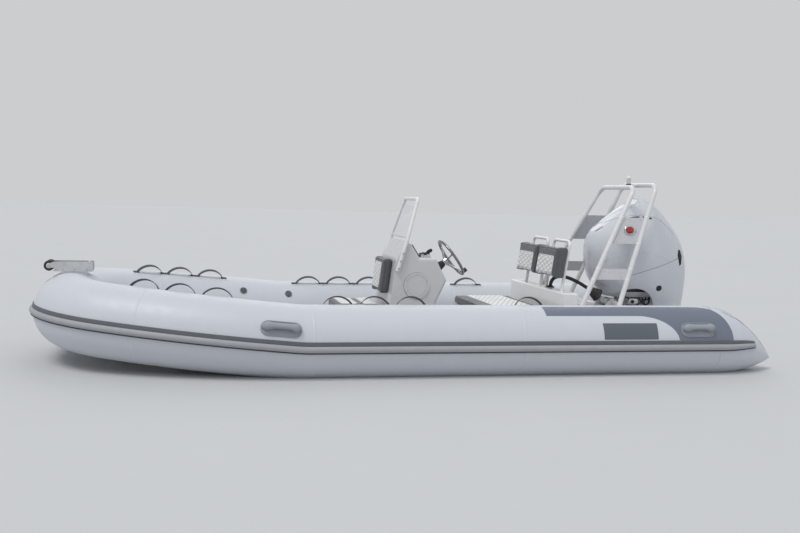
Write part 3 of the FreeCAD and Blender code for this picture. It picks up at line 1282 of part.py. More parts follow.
def gearcase():
    """Anti-ventilation plate, strut, bullet-shaped housing and skeg."""
    plate_up, thick = size("plate_up"), size("cav_plate_thick")
    front, rear, half = size("leg_front") + 26, size("cav_plate_rear"), size("cav_plate_half")
    outline = [(front, 0.3 * half), (front - 90, half), (rear + 60, half), (rear, 0.55 * half)]
    plate = Part.Face(plan_loop(outline, plate_up)).extrude(Z_AXIS * thick)
    shaft, radius = size("shaft_up"), size("torpedo_radius")
    nose, tail = size("torpedo_nose"), size("torpedo_rear")
    taper = size("strut_taper")
    neck = leg_loop(plate_up, size("leg_front") - 8, size("leg_rear") - 24, size("leg_half") - taper)
    strut = Part.makeLoft([neck, leg_loop(shaft + 8, nose - 70, tail + 34, radius * 0.62)], True, True)
    profile = [(nose, 0), (nose - 34, radius * 0.62), (nose - 110, radius), (tail + 60, radius),
               (tail, size("prop_hub")), (tail, 0)]
    curve = [Vector(x, 0, shaft + up) for x, up in profile]
    edges = [Part.LineSegment(start, end).toShape() for start, end in zip(curve[2:], curve[3:] + curve[:1])]
    bullet = Part.Wire([Part.Arc(*curve[:3]).toShape()] + edges)
    housing = Part.Face(bullet).revolve(Vector(0, 0, shaft), X_AXIS, 360)
    fin_half, low, root = size("skeg_thick") / 2, size("skeg_low"), shaft - radius * 0.6
    outline = [(nose - 80, root), (nose - 200, low + 6), (nose - 285, low), (tail + 6, root)]
    fin = flat_face([Vector(x, -fin_half, up) for x, up in outline]).extrude(Y_AXIS * 2 * fin_half)
    spindle_start = Vector(tail + 20, 0, shaft)
    spindle = Part.makeCylinder(size("prop_shaft"), size("prop_shaft_long") + 20, spindle_start, -X_AXIS)
    return plate.multiFuse([strut, housing, fin, spindle]).removeSplitter()


shaped("gearcase", gearcase())


# Columns: share of the propeller's radius, blade width, sweep aft along the shaft.
BLADE_SECTIONS = ((0.2, 78, 0), (0.42, 116, 4), (0.66, 128, 10), (0.87, 98, 17), (1, 34, 25))


def blade_section(radius, width, sweep, thick):
    """A lens across the radius, turned to the pitch angle that the helix has there."""
    pitch = math.atan(size("prop_pitch") / (2 * math.pi * radius))
    chord = Vector(math.sin(pitch), math.cos(pitch), 0) * (width / 2)
    back = Vector(math.cos(pitch), -math.sin(pitch), 0) * (thick / 2)
    centre = Vector(-sweep, 0, radius)
    return Part.Wire([
        Part.Arc(centre - chord, centre + back, centre + chord).toShape(),
        Part.Arc(centre + chord, centre - back, centre - chord).toShape(),
    ])


def propeller():
    hub_front = size("torpedo_rear") - size("prop_gap")
    long, hub = size("prop_hub_long"), size("prop_hub")
    centre = Vector(hub_front - long / 2, 0, size("shaft_up"))
    body = Part.makeCone(hub, hub * 0.84, long, Vector(hub_front, 0, centre.z), -X_AXIS)
    rear = Vector(hub_front - long, 0, centre.z)
    outlet = Part.makeCylinder(hub * 0.62, size("prop_bore_long"), rear, X_AXIS)
    nut = Part.makeCylinder(hub * 0.34, size("prop_bore_long") + 6, rear, X_AXIS)
    room = size("prop_shaft_long") - size("prop_gap") + 3
    bore = size("prop_shaft") + size("pin_play")
    spindle = Part.makeCylinder(bore, room, Vector(hub_front, 0, centre.z), -X_AXIS)
    radius, thick = size("prop_radius"), size("prop_blade_thick")
    wires = [blade_section(share * radius, width, sweep, thick * (1.5 - share))
             for share, width, sweep in BLADE_SECTIONS]
    blade = Part.makeLoft(wires, True, False).translated(centre)
    blades = []
    count = int(size("prop_blades"))
    for index in range(count):
        turned = blade.copy()
        turned.rotate(centre, X_AXIS, 360 * index / count + 20)
        blades.append(turned)
    return body.cut(outlet).multiFuse([nut] + blades).cut(spindle).removeSplitter()


shaped("propeller", propeller())


# Rigging hose from the locker's top into the rubber boot on the engine's front.

def hose_and_boot():
    lean = Rotation(Y_AXIS, 90 - size("boot_pitch")).multVec(Z_AXIS)
    root = Vector(size("boot_x"), size("hose_side"), size("boot_up"))
    boot = Part.makeCone(size("boot_wide"), size("boot_narrow"), size("boot_long"), root - lean * 30, lean)
    boot = boot.cut(cowl_solid(-0.3)).cut(ENGINE_PAN)
    boot = max(boot.Solids, key=lambda piece: piece.CenterOfMass.x)
    mouth = root + lean * (size("boot_long") - 30 + size("seat_gap"))
    exit_place = Vector(size("hose_exit_x"), size("hose_side"), size("locker_top"))
    rise = size("hose_top") - mouth.z
    knee = mouth + lean * (rise / lean.z)
    crest = Vector(size("hose_exit_x"), size("hose_side"), size("hose_top"))
    hose = bent_tube([exit_place, crest, knee, mouth], 58, size("hose_radius"))
    return boot, hose


boot, hose = hose_and_boot()
shaped("rigging_boot", boot)
shaped("rigging_hose", hose)


# Test every object, then write one file for each piece.

doc.recompute()
for item in doc.Objects:
    if any(word in item.State for word in ("Invalid", "Error")):
        raise RuntimeError("failed object: %s %s" % (item.Name, item.State))
for item in parts:
    shape = item.Shape
    if shape.isNull() or not shape.isValid() or not shape.Solids:
        raise RuntimeError("bad shape: " + item.Label)

os.makedirs("parts", exist_ok=True)
for item in parts:
    item.Shape.exportStep(os.path.join("parts", item.Label + ".step"))
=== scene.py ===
import bmesh
import bpy
import math
from mathutils import Matrix, Vector
from mathutils.bvhtree import BVHTree


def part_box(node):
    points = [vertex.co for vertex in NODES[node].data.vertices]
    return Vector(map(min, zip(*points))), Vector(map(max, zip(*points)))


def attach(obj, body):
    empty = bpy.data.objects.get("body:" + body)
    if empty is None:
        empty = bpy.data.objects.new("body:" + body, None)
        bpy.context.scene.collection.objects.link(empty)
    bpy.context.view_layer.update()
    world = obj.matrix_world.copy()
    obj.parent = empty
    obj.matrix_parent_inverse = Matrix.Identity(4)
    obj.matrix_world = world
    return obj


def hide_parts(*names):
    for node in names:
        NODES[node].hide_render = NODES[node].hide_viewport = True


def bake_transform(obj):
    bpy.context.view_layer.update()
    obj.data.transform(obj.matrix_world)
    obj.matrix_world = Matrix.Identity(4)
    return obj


# Looks of a rigid inflatable boat. Metres, +X to the bow, +Y to port, +Z up, waterline at z = 0.

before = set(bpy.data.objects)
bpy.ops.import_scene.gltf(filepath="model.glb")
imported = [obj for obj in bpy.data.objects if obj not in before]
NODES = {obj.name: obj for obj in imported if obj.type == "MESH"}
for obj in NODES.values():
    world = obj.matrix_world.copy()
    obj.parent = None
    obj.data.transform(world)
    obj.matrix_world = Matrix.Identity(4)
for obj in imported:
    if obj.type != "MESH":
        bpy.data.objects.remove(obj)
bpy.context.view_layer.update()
X_AXIS, Y_AXIS, Z_AXIS = Vector((1, 0, 0)), Vector((0, 1, 0)), Vector((0, 0, 1))
SIDES = (("port", 1), ("starboard", -1))


# Node materials.

def colour(value):
    return (value[0], value[1], value[2], 1.0)


class Finish:
    """A Principled material that is built up in layers: colour, roughness and relief."""

    def __init__(self, name):
        self.material = bpy.data.materials.new(name)
        self.material.use_nodes = True
        self.tree = self.material.node_tree
        self.shader = self.tree.nodes["Principled BSDF"]
        self.place = self.node("ShaderNodeTexCoord").outputs["Object"]
        self.normal = None

    def node(self, kind, **values):
        made = self.tree.nodes.new(kind)
        for key, value in values.items():
            setattr(made, key, value)
        return made

    def wire(self, out, into):
        self.tree.links.new(out, into)

    def stretched(self, scale):
        """The object's coordinates with a scale of their own along each axis."""
        mapping = self.node("ShaderNodeMapping")
        mapping.inputs["Scale"].default_value = scale
        self.wire(self.place, mapping.inputs["Vector"])
        return mapping.outputs["Vector"]

    def noise(self, scale, detail, stretch=None):
        made = self.node("ShaderNodeTexNoise")
        made.inputs["Scale"].default_value = scale
        made.inputs["Detail"].default_value = detail
        self.wire(self.stretched(stretch) if stretch else self.place, made.inputs["Vector"])
        return made.outputs["Fac"]

    def cells(self, scale, feature):
        made = self.node("ShaderNodeTexVoronoi", feature=feature)
        made.inputs["Scale"].default_value = scale
        self.wire(self.place, made.inputs["Vector"])
        return made.outputs["Distance"]

    def wave(self, scale, direction, distortion=0):
        made = self.node("ShaderNodeTexWave", bands_direction=direction)
        made.inputs["Scale"].default_value = scale
        made.inputs["Distortion"].default_value = distortion
        self.wire(self.place, made.inputs["Vector"])
        return made.outputs["Fac"]

    def weave(self, scale, other, distortion=0):
        """Crossing threads: bands along X times bands along another axis."""
        made = self.node("ShaderNodeMath", operation="MULTIPLY")
        for index, direction in enumerate(("X", other)):
            self.wire(self.wave(scale, direction, distortion), made.inputs[index])
        return made.outputs["Value"]

    def spread(self, source, low, high, from_low=0.3, from_high=0.7):
        made = self.node("ShaderNodeMapRange")
        made.inputs["From Min"].default_value = from_low
        made.inputs["From Max"].default_value = from_high
        made.inputs["To Min"].default_value = low
        made.inputs["To Max"].default_value = high
        self.wire(source, made.inputs["Value"])
        return made.outputs["Result"]

    def stain(self, scale, detail, amount=1, low=0.3, high=0.7):
        return self.spread(self.noise(scale, detail), 0, amount, low, high)

    def blend(self, factor, first, second):
        made = self.node("ShaderNodeMix", data_type="RGBA")
        self.wire(factor, made.inputs["Factor"])
        for socket, value in (("A", first), ("B", second)):
            pin = next(i for i in made.inputs if i.name == socket and i.type == "RGBA")
            if isinstance(value, tuple):
                pin.default_value = colour(value)
            else:
                self.wire(value, pin)
        return next(o for o in made.outputs if o.type == "RGBA")

    def base(self, source):
        self.wire(source, self.shader.inputs["Base Color"])

    def rough(self, low, high, source):
        self.wire(self.spread(source, low, high), self.shader.inputs["Roughness"])

    def relief(self, height, strength, depth):
        """Adds a bump on top of those that are there already."""
        made = self.node("ShaderNodeBump")
        made.inputs["Strength"].default_value = strength
        made.inputs["Distance"].default_value = depth
        self.wire(height, made.inputs["Height"])
        if self.normal:
            self.wire(self.normal, made.inputs["Normal"])
        self.normal = made.outputs["Normal"]

    def marked(self, name):
        """A value that the mesh itself carries at its points."""
        return self.node("ShaderNodeAttribute", attribute_name=name).outputs["Fac"]

    def done(self):
        if self.normal:
            self.wire(self.normal, self.shader.inputs["Normal"])
        return self.material


def shade(value, factor, lift=0.0):
    return tuple(part * factor + lift for part in value)


# Kinds of finish. Columns: stain (noise scale, detail, amount, from, to); factor and lift of its tint;
# roughness from and to; noise of it; bumps (pattern, its values, strength, depth); other shader values.
KINDS = {
    # Coated fabric: a fine plain weave and a satin coat.
    "fabric": ((9, 5, 0.35), (0.93,), (0.36, 0.5), (14, 3),
               (("noise", (5, 2), 0.12, 0.004), ("weave", (560, "Z"), 0.16, 0.0004),
                ("noise", (700, 2), 0.1, 0.0003)), {"IOR": 1.46}),
    # Moulded rubber: dull, with a dusty bloom and fine pits.
    "rubber": ((16, 5, 1, 0.4, 0.75), (0.85, 0.03), (0.5, 0.72), (30, 4),
               (("noise", (420, 3), 0.2, 0.0004),), {}),
    # Polished gelcoat over laminate: a slight print-through and soft scuffs.
    "gelcoat": ((2.2, 2), (0.975,), (0.16, 0.22), (9, 3),
                (("noise", (14, 2), 0.03, 0.0008), ("noise", (260, 2), 0.04, 0.0001)),
                {"Coat Weight": 0.25, "Coat Roughness": 0.14}),
    # Deck gelcoat with a moulded non-slip grain, a little soiled where feet go.
    "non_slip": ((5, 5), (0.86,), (0.5, 0.7), (40, 3),
                 (("cells", (150, "F1"), 0.6, 0.0012), ("noise", (500, 2), 0.3, 0.0004)), {}),
    # Powder coat: fine orange peel and faint grime.
    "powder": ((11, 5), (0.93,), (0.24, 0.38), (26, 4), (("noise", (330, 2), 0.14, 0.0003),),
               {"Coat Weight": 0.25, "Coat Roughness": 0.12}),
    # Engine lacquer: deep gloss over smooth moulded plastic.
    "lacquer": ((2.4, 3), (0.97,), (0.2, 0.3), (9, 4), (("noise", (120, 2), 0.03, 0.0002),),
                {"Coat Weight": 0.8, "Coat Roughness": 0.05}),
    # Marine vinyl: a pebbled leather grain with a soft sheen.
    "vinyl": ((7, 5), (0.84,), (0.4, 0.56), (60, 4),
              (("cells", (520, "SMOOTH_F1"), 0.35, 0.0006), ("noise", (26, 3), 0.22, 0.0016)),
              {"Sheen Weight": 0.12, "Sheen Roughness": 0.5}),
    # Sewn vinyl: painted shade in its sewn channels, by an amount that the mesh marks at its points.
    "quilted": ((9, 4), (0.9,), (0.4, 0.54), (60, 4),
                (("cells", (520, "SMOOTH_F1"), 0.3, 0.0005), ("noise", (30, 3), 0.15, 0.001)),
                {"Sheen Weight": 0.12, "Sheen Roughness": 0.5}),
    # Woven webbing: ribs across the strap and twisted yarns along it.
    "webbing": ((240, 3), (0.6,), (0.7, 0.9), (60, 2), (("weave", (420, "Y", 0.4), 0.7, 0.0012),),
                {"Sheen Weight": 0.25, "Sheen Roughness": 0.4}),
    # Moulded plastic with a fine spark-eroded grain.
    "plastic": ((18, 5), (0.8, 0.006), (0.34, 0.52), (50, 4), (("noise", (640, 2), 0.22, 0.0003),), {}),
    # Polished or brushed metal with fine scratches and water marks.
    "steel": ((30, 5), (0.84,), (0.16, 0.36), (80, 5, (1, 14, 14)),
              (("noise", (500, 2, (0.05, 1, 1)), 0.08, 0.0002),), {"Metallic": 1.0}),
    # A moulded lamp lens: tinted clear plastic with rings pressed in it.
    "lens": ((40, 3, 1, 0, 1), (0.8,), (0.08, 0.18), (60, 3), (("wave", (90, "Z"), 0.25, 0.001),),
             {"Transmission Weight": 0.35, "IOR": 1.49, "Coat Weight": 0.6}),
    # Clear acrylic sheet with a trace of salt.
    "acrylic": ((8, 4, 1, 0, 1), (2.0, -1.01), (0.01, 0.05), (24, 6), (),
                {"Transmission Weight": 0.98, "IOR": 1.2, "Specular IOR Level": 0.4}),
    # The inside of a vent: a near-black sheet of painted shade where its hollow lies.
    "void": ((60, 2, 1, 0, 1), (1.0, 0.008), (0.6, 0.8), (80, 2), (), {}),
}
# The colour of the painted shade in the quilts' sewn channels.
CHANNEL_SHADE_TINT = (0.34, 0.345, 0.36)
PANEL_NOISE, PANEL_SHADE = (1.7, 2), 0.965


def layered(kind, name, tint, least=None):
    """A material of a kind, in a tint, with a least roughness of its own if one is given."""
    stain, second, (low, high), glint, bumps, values = KINDS[kind]
    made = Finish(name)
    ground = tint
    if kind == "fabric":
        ground = made.blend(made.noise(*PANEL_NOISE), tint, shade(tint, PANEL_SHADE))
    cover = made.blend(made.stain(*stain), ground, shade(tint, *second))
    # Quilts get painted shade, blended in where the mesh marks their sewn channels.
    if kind == "quilted":
        cover = made.blend(made.marked("channel_shade"), cover, CHANNEL_SHADE_TINT)
    made.base(cover)
    start = low if least is None else least
    made.rough(start, start + high - low, made.noise(*glint))
    for pattern, settings, strength, depth in bumps:
        made.relief(getattr(made, pattern)(*settings), strength, depth)
    for socket, value in values.items():
        made.shader.inputs[socket].default_value = value
    return made.done()


# Columns: kind, name of the material, tint, and the least roughness where it isn't the kind's.
FINISHES = {key: layered(*row) for key, row in {
    "fabric": ("fabric", "fabric_white", (0.60, 0.625, 0.675)),
    "tape": ("fabric", "fabric_tape", (0.61, 0.635, 0.685)),
    "decal": ("fabric", "fabric_grey", (0.165, 0.185, 0.235)),
    "plate": ("fabric", "fabric_slate", (0.115, 0.13, 0.15)),
    "strake_dark": ("rubber", "strake_dark", (0.115, 0.125, 0.14)),
    "strake_light": ("rubber", "strake_light", (0.36, 0.37, 0.39)),
    "strake_lip": ("rubber", "strake_lip", (0.045, 0.05, 0.055)),
    "handle": ("rubber", "handle_rubber", (0.31, 0.325, 0.365)),
    "webbing": ("webbing", "webbing_grey", (0.07, 0.08, 0.09)),
    "valve": ("plastic", "valve_plastic", (0.10, 0.11, 0.125), 0.42),
    "gelcoat": ("gelcoat", "gelcoat_white", (0.80, 0.80, 0.79)),
    "deck": ("non_slip", "deck_grain", (0.72, 0.725, 0.72)),
    "console": ("gelcoat", "gelcoat_warm", (0.60, 0.60, 0.605), 0.26),
    "coat": ("powder", "coat_white", (0.80, 0.80, 0.79)),
    "arch": ("powder", "arch_white", (0.72, 0.725, 0.735)),
    "arch_plate": ("powder", "arch_plate_white", (0.58, 0.585, 0.61)),
    "vinyl": ("vinyl", "vinyl_charcoal", (0.095, 0.1, 0.108)),
    "quilt": ("quilted", "vinyl_quilt", (0.80, 0.80, 0.79)),
    "white_vinyl": ("vinyl", "vinyl_white", (0.80, 0.80, 0.79)),
    "black": ("plastic", "black_satin", (0.016, 0.017, 0.019)),
    "hatch": ("gelcoat", "hatch_white", (0.60, 0.60, 0.595), 0.3),
    "grip": ("rubber", "grip_black", (0.022, 0.022, 0.024)),
    "rim": ("steel", "rim_grey", (0.30, 0.305, 0.32), 0.2),
    "steel": ("steel", "stainless", (0.62, 0.62, 0.63)),
    "aluminium": ("steel", "aluminium", (0.72, 0.73, 0.74), 0.3),
    "roller": ("rubber", "roller_black", (0.02, 0.02, 0.021)),
    "red": ("lens", "lens_red", (0.62, 0.012, 0.016)),
    "green": ("lens", "lens_green", (0.008, 0.36, 0.09)),
    "clear": ("lens", "lens_clear", (0.84, 0.85, 0.84)),
    "screen": ("acrylic", "screen_clear", (0.97, 0.98, 0.985)),
    "engine": ("lacquer", "engine_white", (0.60, 0.625, 0.67)),
    "leg": ("lacquer", "leg_white", (0.52, 0.54, 0.57)),
    # Painted shadow: dark lines in the joints of the hatch and along the split of the cowl.
    "shadow_line": ("rubber", "shadow_line", (0.06, 0.065, 0.072)),
    "bracket": ("powder", "bracket_white", (0.64, 0.65, 0.66)),
    "casting": ("steel", "casting_dark", (0.16, 0.16, 0.165), 0.45),
    "propeller": ("plastic", "propeller_black", (0.02, 0.02, 0.022), 0.24),
    "hose": ("rubber", "hose_black", (0.018, 0.018, 0.02)),
    # Painted shade: near-black sheets in the cowl's air slots, vents and ports.
    "void": ("void", "vent_dark", (0.006, 0.006, 0.007)),
}.items()}

# The finish of each carried-over node.
NODE_FINISH = {
    "fabric": "tube_port tube_starboard tube_bow",
    "strake_lip": "rub_lip", "strake_light": "rub_fender", "strake_dark": "rub_band",
    "webbing": "grab_loops", "handle": "carry_handles", "valve": "tube_valves",
    "gelcoat": "hull transom stern_locker quarter_decks", "deck": "deck",
    "arch": "arch_front_hoop arch_aft_hoop", "arch_plate": "arch_plates",
    "red": "nav_light_port", "green": "nav_light_starboard", "clear": "masthead_light",
    "console": "front_seat_box helm_seat_box console_body",
    "vinyl": "front_seat_cushion helm_seat_cushion backrest_pad_port backrest_pad_starboard console_cushion",
    "coat": "backrest_frame windscreen_frame", "screen": "windscreen_panel",
    "black": "dash_panel helm_boss throttle", "hatch": "console_hatch_ring console_hatch_lid",
    "grip": "wheel_rim wheel_knob", "steel": "wheel_spokes bow_eye stern_eyes trim_cylinder trim_rod",
    "aluminium": "bow_bracket", "roller": "bow_roller", "casting": "powerhead",
    "bracket": "clamp_bracket swivel_bracket steering_yoke", "engine": "cowl_upper cowl_lower",
    "leg": "engine_pan engine_leg gearcase", "propeller": "propeller", "hose": "rigging_boot rigging_hose",
}


def dress_nodes():
    for finish, nodes in NODE_FINISH.items():
        for node in nodes.split():
            piece = NODES[node]
            piece.data.materials.clear()
            piece.data.materials.append(FINISHES[finish])


# Piece makers.

def linked(piece):
    bpy.context.scene.collection.objects.link(piece)
    return piece


def mesh_piece(name, points, faces):
    mesh = bpy.data.meshes.new(name)
    mesh.from_pydata([tuple(point) for point in points], [], faces)
    mesh.validate()
    return linked(bpy.data.objects.new(name, mesh))


def dressed(piece, finish, body="boat", sharp=35):
    """Gives a piece its finish and its body, smooth except at edges sharper than an angle."""
    piece.data.materials.append(FINISHES[finish])
    if piece.type == "MESH":
        piece.data.shade_smooth()
        piece.data.set_sharp_from_angle(angle=math.radians(sharp))
    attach(piece, body)
    return piece


class Shape:
    """Points and faces that several forms add to, for one mesh."""

    def __init__(self):
        self.points, self.faces = [], []

    def rows(self, rows, closed=False, caps=False):
        """Quads between rows of as many points each; caps close the first and last rows."""
        start, wide = len(self.points), len(rows[0])
        for row in rows:
            self.points.extend(row)
        span = wide if closed else wide - 1
        for line in range(len(rows) - 1):
            for step in range(span):
                here, there = start + line * wide, start + (line + 1) * wide
                onward = (step + 1) % wide
                self.faces.append((here + step, here + onward, there + onward, there + step))
        if caps:
            last = start + (len(rows) - 1) * wide
            self.faces.append(tuple(range(start + wide - 1, start - 1, -1)))
            self.faces.append(tuple(range(last, last + wide)))
        return self

    def turned(self, centre, axis, profile, steps=32, caps=True):
        """A turned form: the profile holds (radius, height along the axis) pairs."""
        axis = Vector(axis).normalized()
        side = axis.orthogonal().normalized()
        other = axis.cross(side)
        rows = []
        for radius, high in profile:
            ring = []
            for step in range(steps):
                angle = 2 * math.pi * step / steps
                out = side * math.cos(angle) + other * math.sin(angle)
                ring.append(Vector(centre) + axis * high + out * radius)
            rows.append(ring)
        return self.rows(rows, closed=True, caps=caps)

    def tube(self, points, radius, sides=10, closed=False):
        """A round bar through points; the radius may be a number or a list, one for each point."""
        rows, count = [], len(points)
        side = None
        for index, point in enumerate(points):
            before = points[index - 1] if index or closed else point
            after = points[(index + 1) % count] if index < count - 1 or closed else point
            along = (Vector(after) - Vector(before)).normalized()
            if side is None:
                side = along.orthogonal().normalized()
            side = (side - along * side.dot(along)).normalized()
            other = along.cross(side)
            reach = radius[index] if isinstance(radius, (list, tuple)) else radius
            turns = [2 * math.pi * k / sides for k in range(sides)]
            rows.append([Vector(point) + side * reach * math.cos(turn) + other * reach * math.sin(turn)
                         for turn in turns])
        if closed:
            rows.append(rows[0])
        return self.rows(rows, closed=True, caps=not closed)

    def plate(self, outline, thick, bevel=0.0):
        """A flat plate: an outline of points, thickened along the vector thick, with eased edges."""
        thick = Vector(thick)
        middle = sum((Vector(p) for p in outline), Vector()) / len(outline)
        up = thick.normalized()
        rows = []
        for inset, lift in ((bevel, 0), (0, bevel), (0, thick.length - bevel), (bevel, thick.length)):
            row = []
            for point in outline:
                inward = middle - Vector(point)
                inward -= up * inward.dot(up)
                row.append(Vector(point) + inward.normalized() * inset + up * lift)
            rows.append(row)
        return self.rows(rows, closed=True, caps=True)

    def stacked(self, centre, across, up, way, levels, steps=5, caps=False):
        """Rounded boxes in a stack: levels hold (height along way, half width, half height, corner)."""
        rows = [rounded_box_outline(centre + way * lift, across, up, half_wide, half_high, corner, steps)
                for lift, half_wide, half_high, corner in levels]
        return self.rows(rows, closed=True, caps=caps)

    def piece(self, name, marks=None):
        """The mesh, cleaned; marks are named values, one for each point."""
        made = mesh_piece(name, self.points, self.faces)
        for mark, values in (marks or {}).items():
            made.data.attributes.new(mark, "FLOAT", "POINT").data.foreach_set("value", values)
        mesh = bmesh.new()
        mesh.from_mesh(made.data)
        bmesh.ops.remove_doubles(mesh, verts=mesh.verts, dist=1e-6)
        bmesh.ops.recalc_face_normals(mesh, faces=mesh.faces)
        mesh.to_mesh(made.data)
        mesh.free()
        return made


def arc(centre, first, second, start, end, steps):
    """Points of an ellipse's arc about a centre, with half axes first and second, angles in degrees."""
    found = []
    for step in range(steps + 1):
        angle = math.radians(start + (end - start) * step / steps)
        found.append(Vector(centre) + Vector(first) * math.cos(angle) + Vector(second) * math.sin(angle))
    return found


def rounded_box_outline(centre, across, up, half_wide, half_high, corner, steps=5):
    """A rectangle with round corners in the plane of two unit vectors."""
    points = []
    for index, (right, top) in enumerate(((1, 1), (-1, 1), (-1, -1), (1, -1))):
        hub = Vector(centre) + across * right * (half_wide - corner) + up * top * (half_high - corner)
        points += arc(hub, across * corner, up * corner, 90 * index, 90 * index + 90, steps)
    return points


def screw_heads(shape, places, normal, radius=0.005, high=0.0025):
    """Pan-head screws: shallow domes with a socket in each."""
    for place in places:
        profile = [(radius, -0.001), (radius, high * 0.35), (radius * 0.8, high * 0.8), (radius * 0.45, high),
                   (radius * 0.42, high * 0.4)]
        shape.turned(place, normal, profile, 14)


# The tube's centreline: the same legs as the part's own.

TUBE_RADIUS, AXIS_OUT, AXIS_UP = 0.250, 0.870, 0.220
CONE_START, CONE_RUN, CONE_TIP, CONE_DROP = -2.200, 0.573, 0.012, 0.130
CONE_ROUND, CONE_DIP = 2.1, 1.8
STRAIGHT_END, RISE_ANGLE, RISE_BEND, RISE_LEAD = 0.661, math.radians(5.1), 1.5, 0.113
BOW_BEND, BOW_ANGLE, NOSE_HALF = 2.5, math.radians(24.4), 0.146
NOSE_BEND = (AXIS_OUT - NOSE_HALF - BOW_BEND * (1 - math.cos(BOW_ANGLE))) / math.cos(BOW_ANGLE)

# Columns: kind, length or radius, angle.
TUBE_LEGS = (
    ("line", STRAIGHT_END - CONE_START, 0), ("rise", RISE_BEND, RISE_ANGLE), ("line", RISE_LEAD, 0),
    ("inward", BOW_BEND, BOW_ANGLE), ("inward", NOSE_BEND, math.pi / 2 - BOW_ANGLE), ("line", NOSE_HALF, 0),
)
TUBE_LENGTH = sum(amount * (angle if kind != "line" else 1) for kind, amount, angle in TUBE_LEGS)


def tube_frame(along):
    """Place, forward, outboard, up and radius of the port tube at a length from the cone's start."""
    if along < 0:
        share = -along / CONE_RUN
        place = Vector((CONE_START + along, AXIS_OUT, AXIS_UP - CONE_DROP * share ** CONE_DIP))
        radius = CONE_TIP + (TUBE_RADIUS - CONE_TIP) * (1 - share ** CONE_ROUND)
        return place, X_AXIS, Y_AXIS, Z_AXIS, radius
    place, forward = Vector((CONE_START, AXIS_OUT, AXIS_UP)), X_AXIS.copy()
    outboard, up = Y_AXIS.copy(), Z_AXIS.copy()
    for kind, amount, angle in TUBE_LEGS:
        length = amount if kind == "line" else amount * angle
        run = min(along, length)
        if kind == "line":
            place = place + forward * run
        else:
            swing = run / amount
            inner = up if kind == "rise" else -outboard
            place = place + forward * amount * math.sin(swing) + inner * amount * (1 - math.cos(swing))
            turned = inner * math.cos(swing) - forward * math.sin(swing)
            forward = forward * math.cos(swing) + inner * math.sin(swing)
            if kind == "rise":
                up = turned
            else:
                outboard = -turned
        along -= run
        if along <= 0:
            break
    return place, forward, outboard, up, TUBE_RADIUS


def tube_point(along, angle, proud=0.0, side=1):
    """A point on the tube's skin, at an angle up from outboard; side -1 gives the starboard tube."""
    place, _, outboard, up, radius = tube_frame(along)
    turn = math.radians(angle)
    point = place + (outboard * math.cos(turn) + up * math.sin(turn)) * (radius + proud)
    return Vector((point.x, point.y * side, point.z))


def along_at(x):
    return x - CONE_START


TAPE_WIDE, TAPE_PROUD, TAPE_SUNK, TAPE_EDGE = 0.016, 0.0005, -0.0008, 0.0012
CONE_SEAM_START, CONE_SEAM_LONG, CONE_SEAM_TURN, CONE_SEAM_RADIUS = -0.11, 0.42, 16, 0.0013


def ring_tape(shape, along, side):
    """A tape glued round the tube over a joint, its edges feathered into the skin."""
    half = TAPE_WIDE / 2
    edges = ((-half, TAPE_SUNK), (TAPE_EDGE - half, TAPE_PROUD), (half - TAPE_EDGE, TAPE_PROUD),
             (half, TAPE_SUNK))
    rows = [[tube_point(along + offset, angle, proud, side) for angle in range(0, 360, 5)]
            for offset, proud in edges]
    shape.rows(rows, closed=True)


def cone_seam(shape, angle, side, parts=40):
    """A thin raised seam from the tube's crown down to the cone's tip."""
    line = [tube_point(CONE_SEAM_START - CONE_SEAM_LONG * k / parts, angle - CONE_SEAM_TURN * k / parts,
                       0.0002, side) for k in range(parts + 1)]
    shape.tube(line, CONE_SEAM_RADIUS, 6)


def skin_patch(shape, along, angle, half_long, half_wide, corner, proud, side=1):
    """A rounded patch that follows the tube's skin, its edge eased down to the skin."""
    outline = rounded_box_outline((0, 0, 0), X_AXIS, Y_AXIS, half_long, half_wide, corner, 7)
    rings = ((1, TAPE_SUNK), (0.985, proud * 0.8), (0.95, proud), (0.5, proud), (0.02, proud))
    rows = [[tube_point(along + p.x * scale, angle + math.degrees(p.y * scale / TUBE_RADIUS), lift, side)
             for p in outline] for scale, lift in rings]
    shape.rows(rows, closed=True)
    start = len(shape.points) - len(outline)
    shape.faces.append(tuple(range(start, start + len(outline))))


BOW_TAPES = (2.861, 3.95, 4.62)
SIDE_TAPES = (-0.045, 1.42)
CONE_SEAMS = (88, 68)
LOOP_ANGLE = 90 + 18.7
LOOP_PLACES = [3.508, 3.763, 4.018, along_at(0.468), along_at(0.212), along_at(-0.044), along_at(-0.900)]
LOOP_HALF = 0.100


def tube_tapes():
    """Slim welds round each tube, and the seams that run down its cone."""
    shape, cones = Shape(), Shape()
    for side in (1, -1):
        for along in BOW_TAPES + SIDE_TAPES:
            ring_tape(shape, along, side)
        for angle in CONE_SEAMS:
            cone_seam(cones, angle, side)
    dressed(shape.piece("tube_tapes"), "tape", sharp=60)
    dressed(cones.piece("cone_seams"), "handle", sharp=60)


# Columns: name, low angle, high angle, height at its edges, height at its middle, finish, slot.
STRAKES = (
    ("lip", -9.6, -7.8, 0.015, 0.015, "strake_lip", "strake_grey"),
    ("fender", -7.8, 1.4, 0.012, 0.024, "strake_light", "strake_light"),
    ("band", 1.4, 7.8, 0.006, 0.006, "strake_dark", "strake_grey"),
)
STRAKE_END, STRAKE_LIFT, STRAKE_STEP, STRAKE_PARTS = -0.362, 16.0, 0.035, 24
STRAKE_ROWS = (-0.1, 0.8)  # The swell of the first two rows, which close the end squarely.


def strake_lift(along):
    """How far the strakes climb round the cone, in degrees, as it tapers under them."""
    return STRAKE_LIFT * (min(0.0, along) / STRAKE_END) ** 2.2


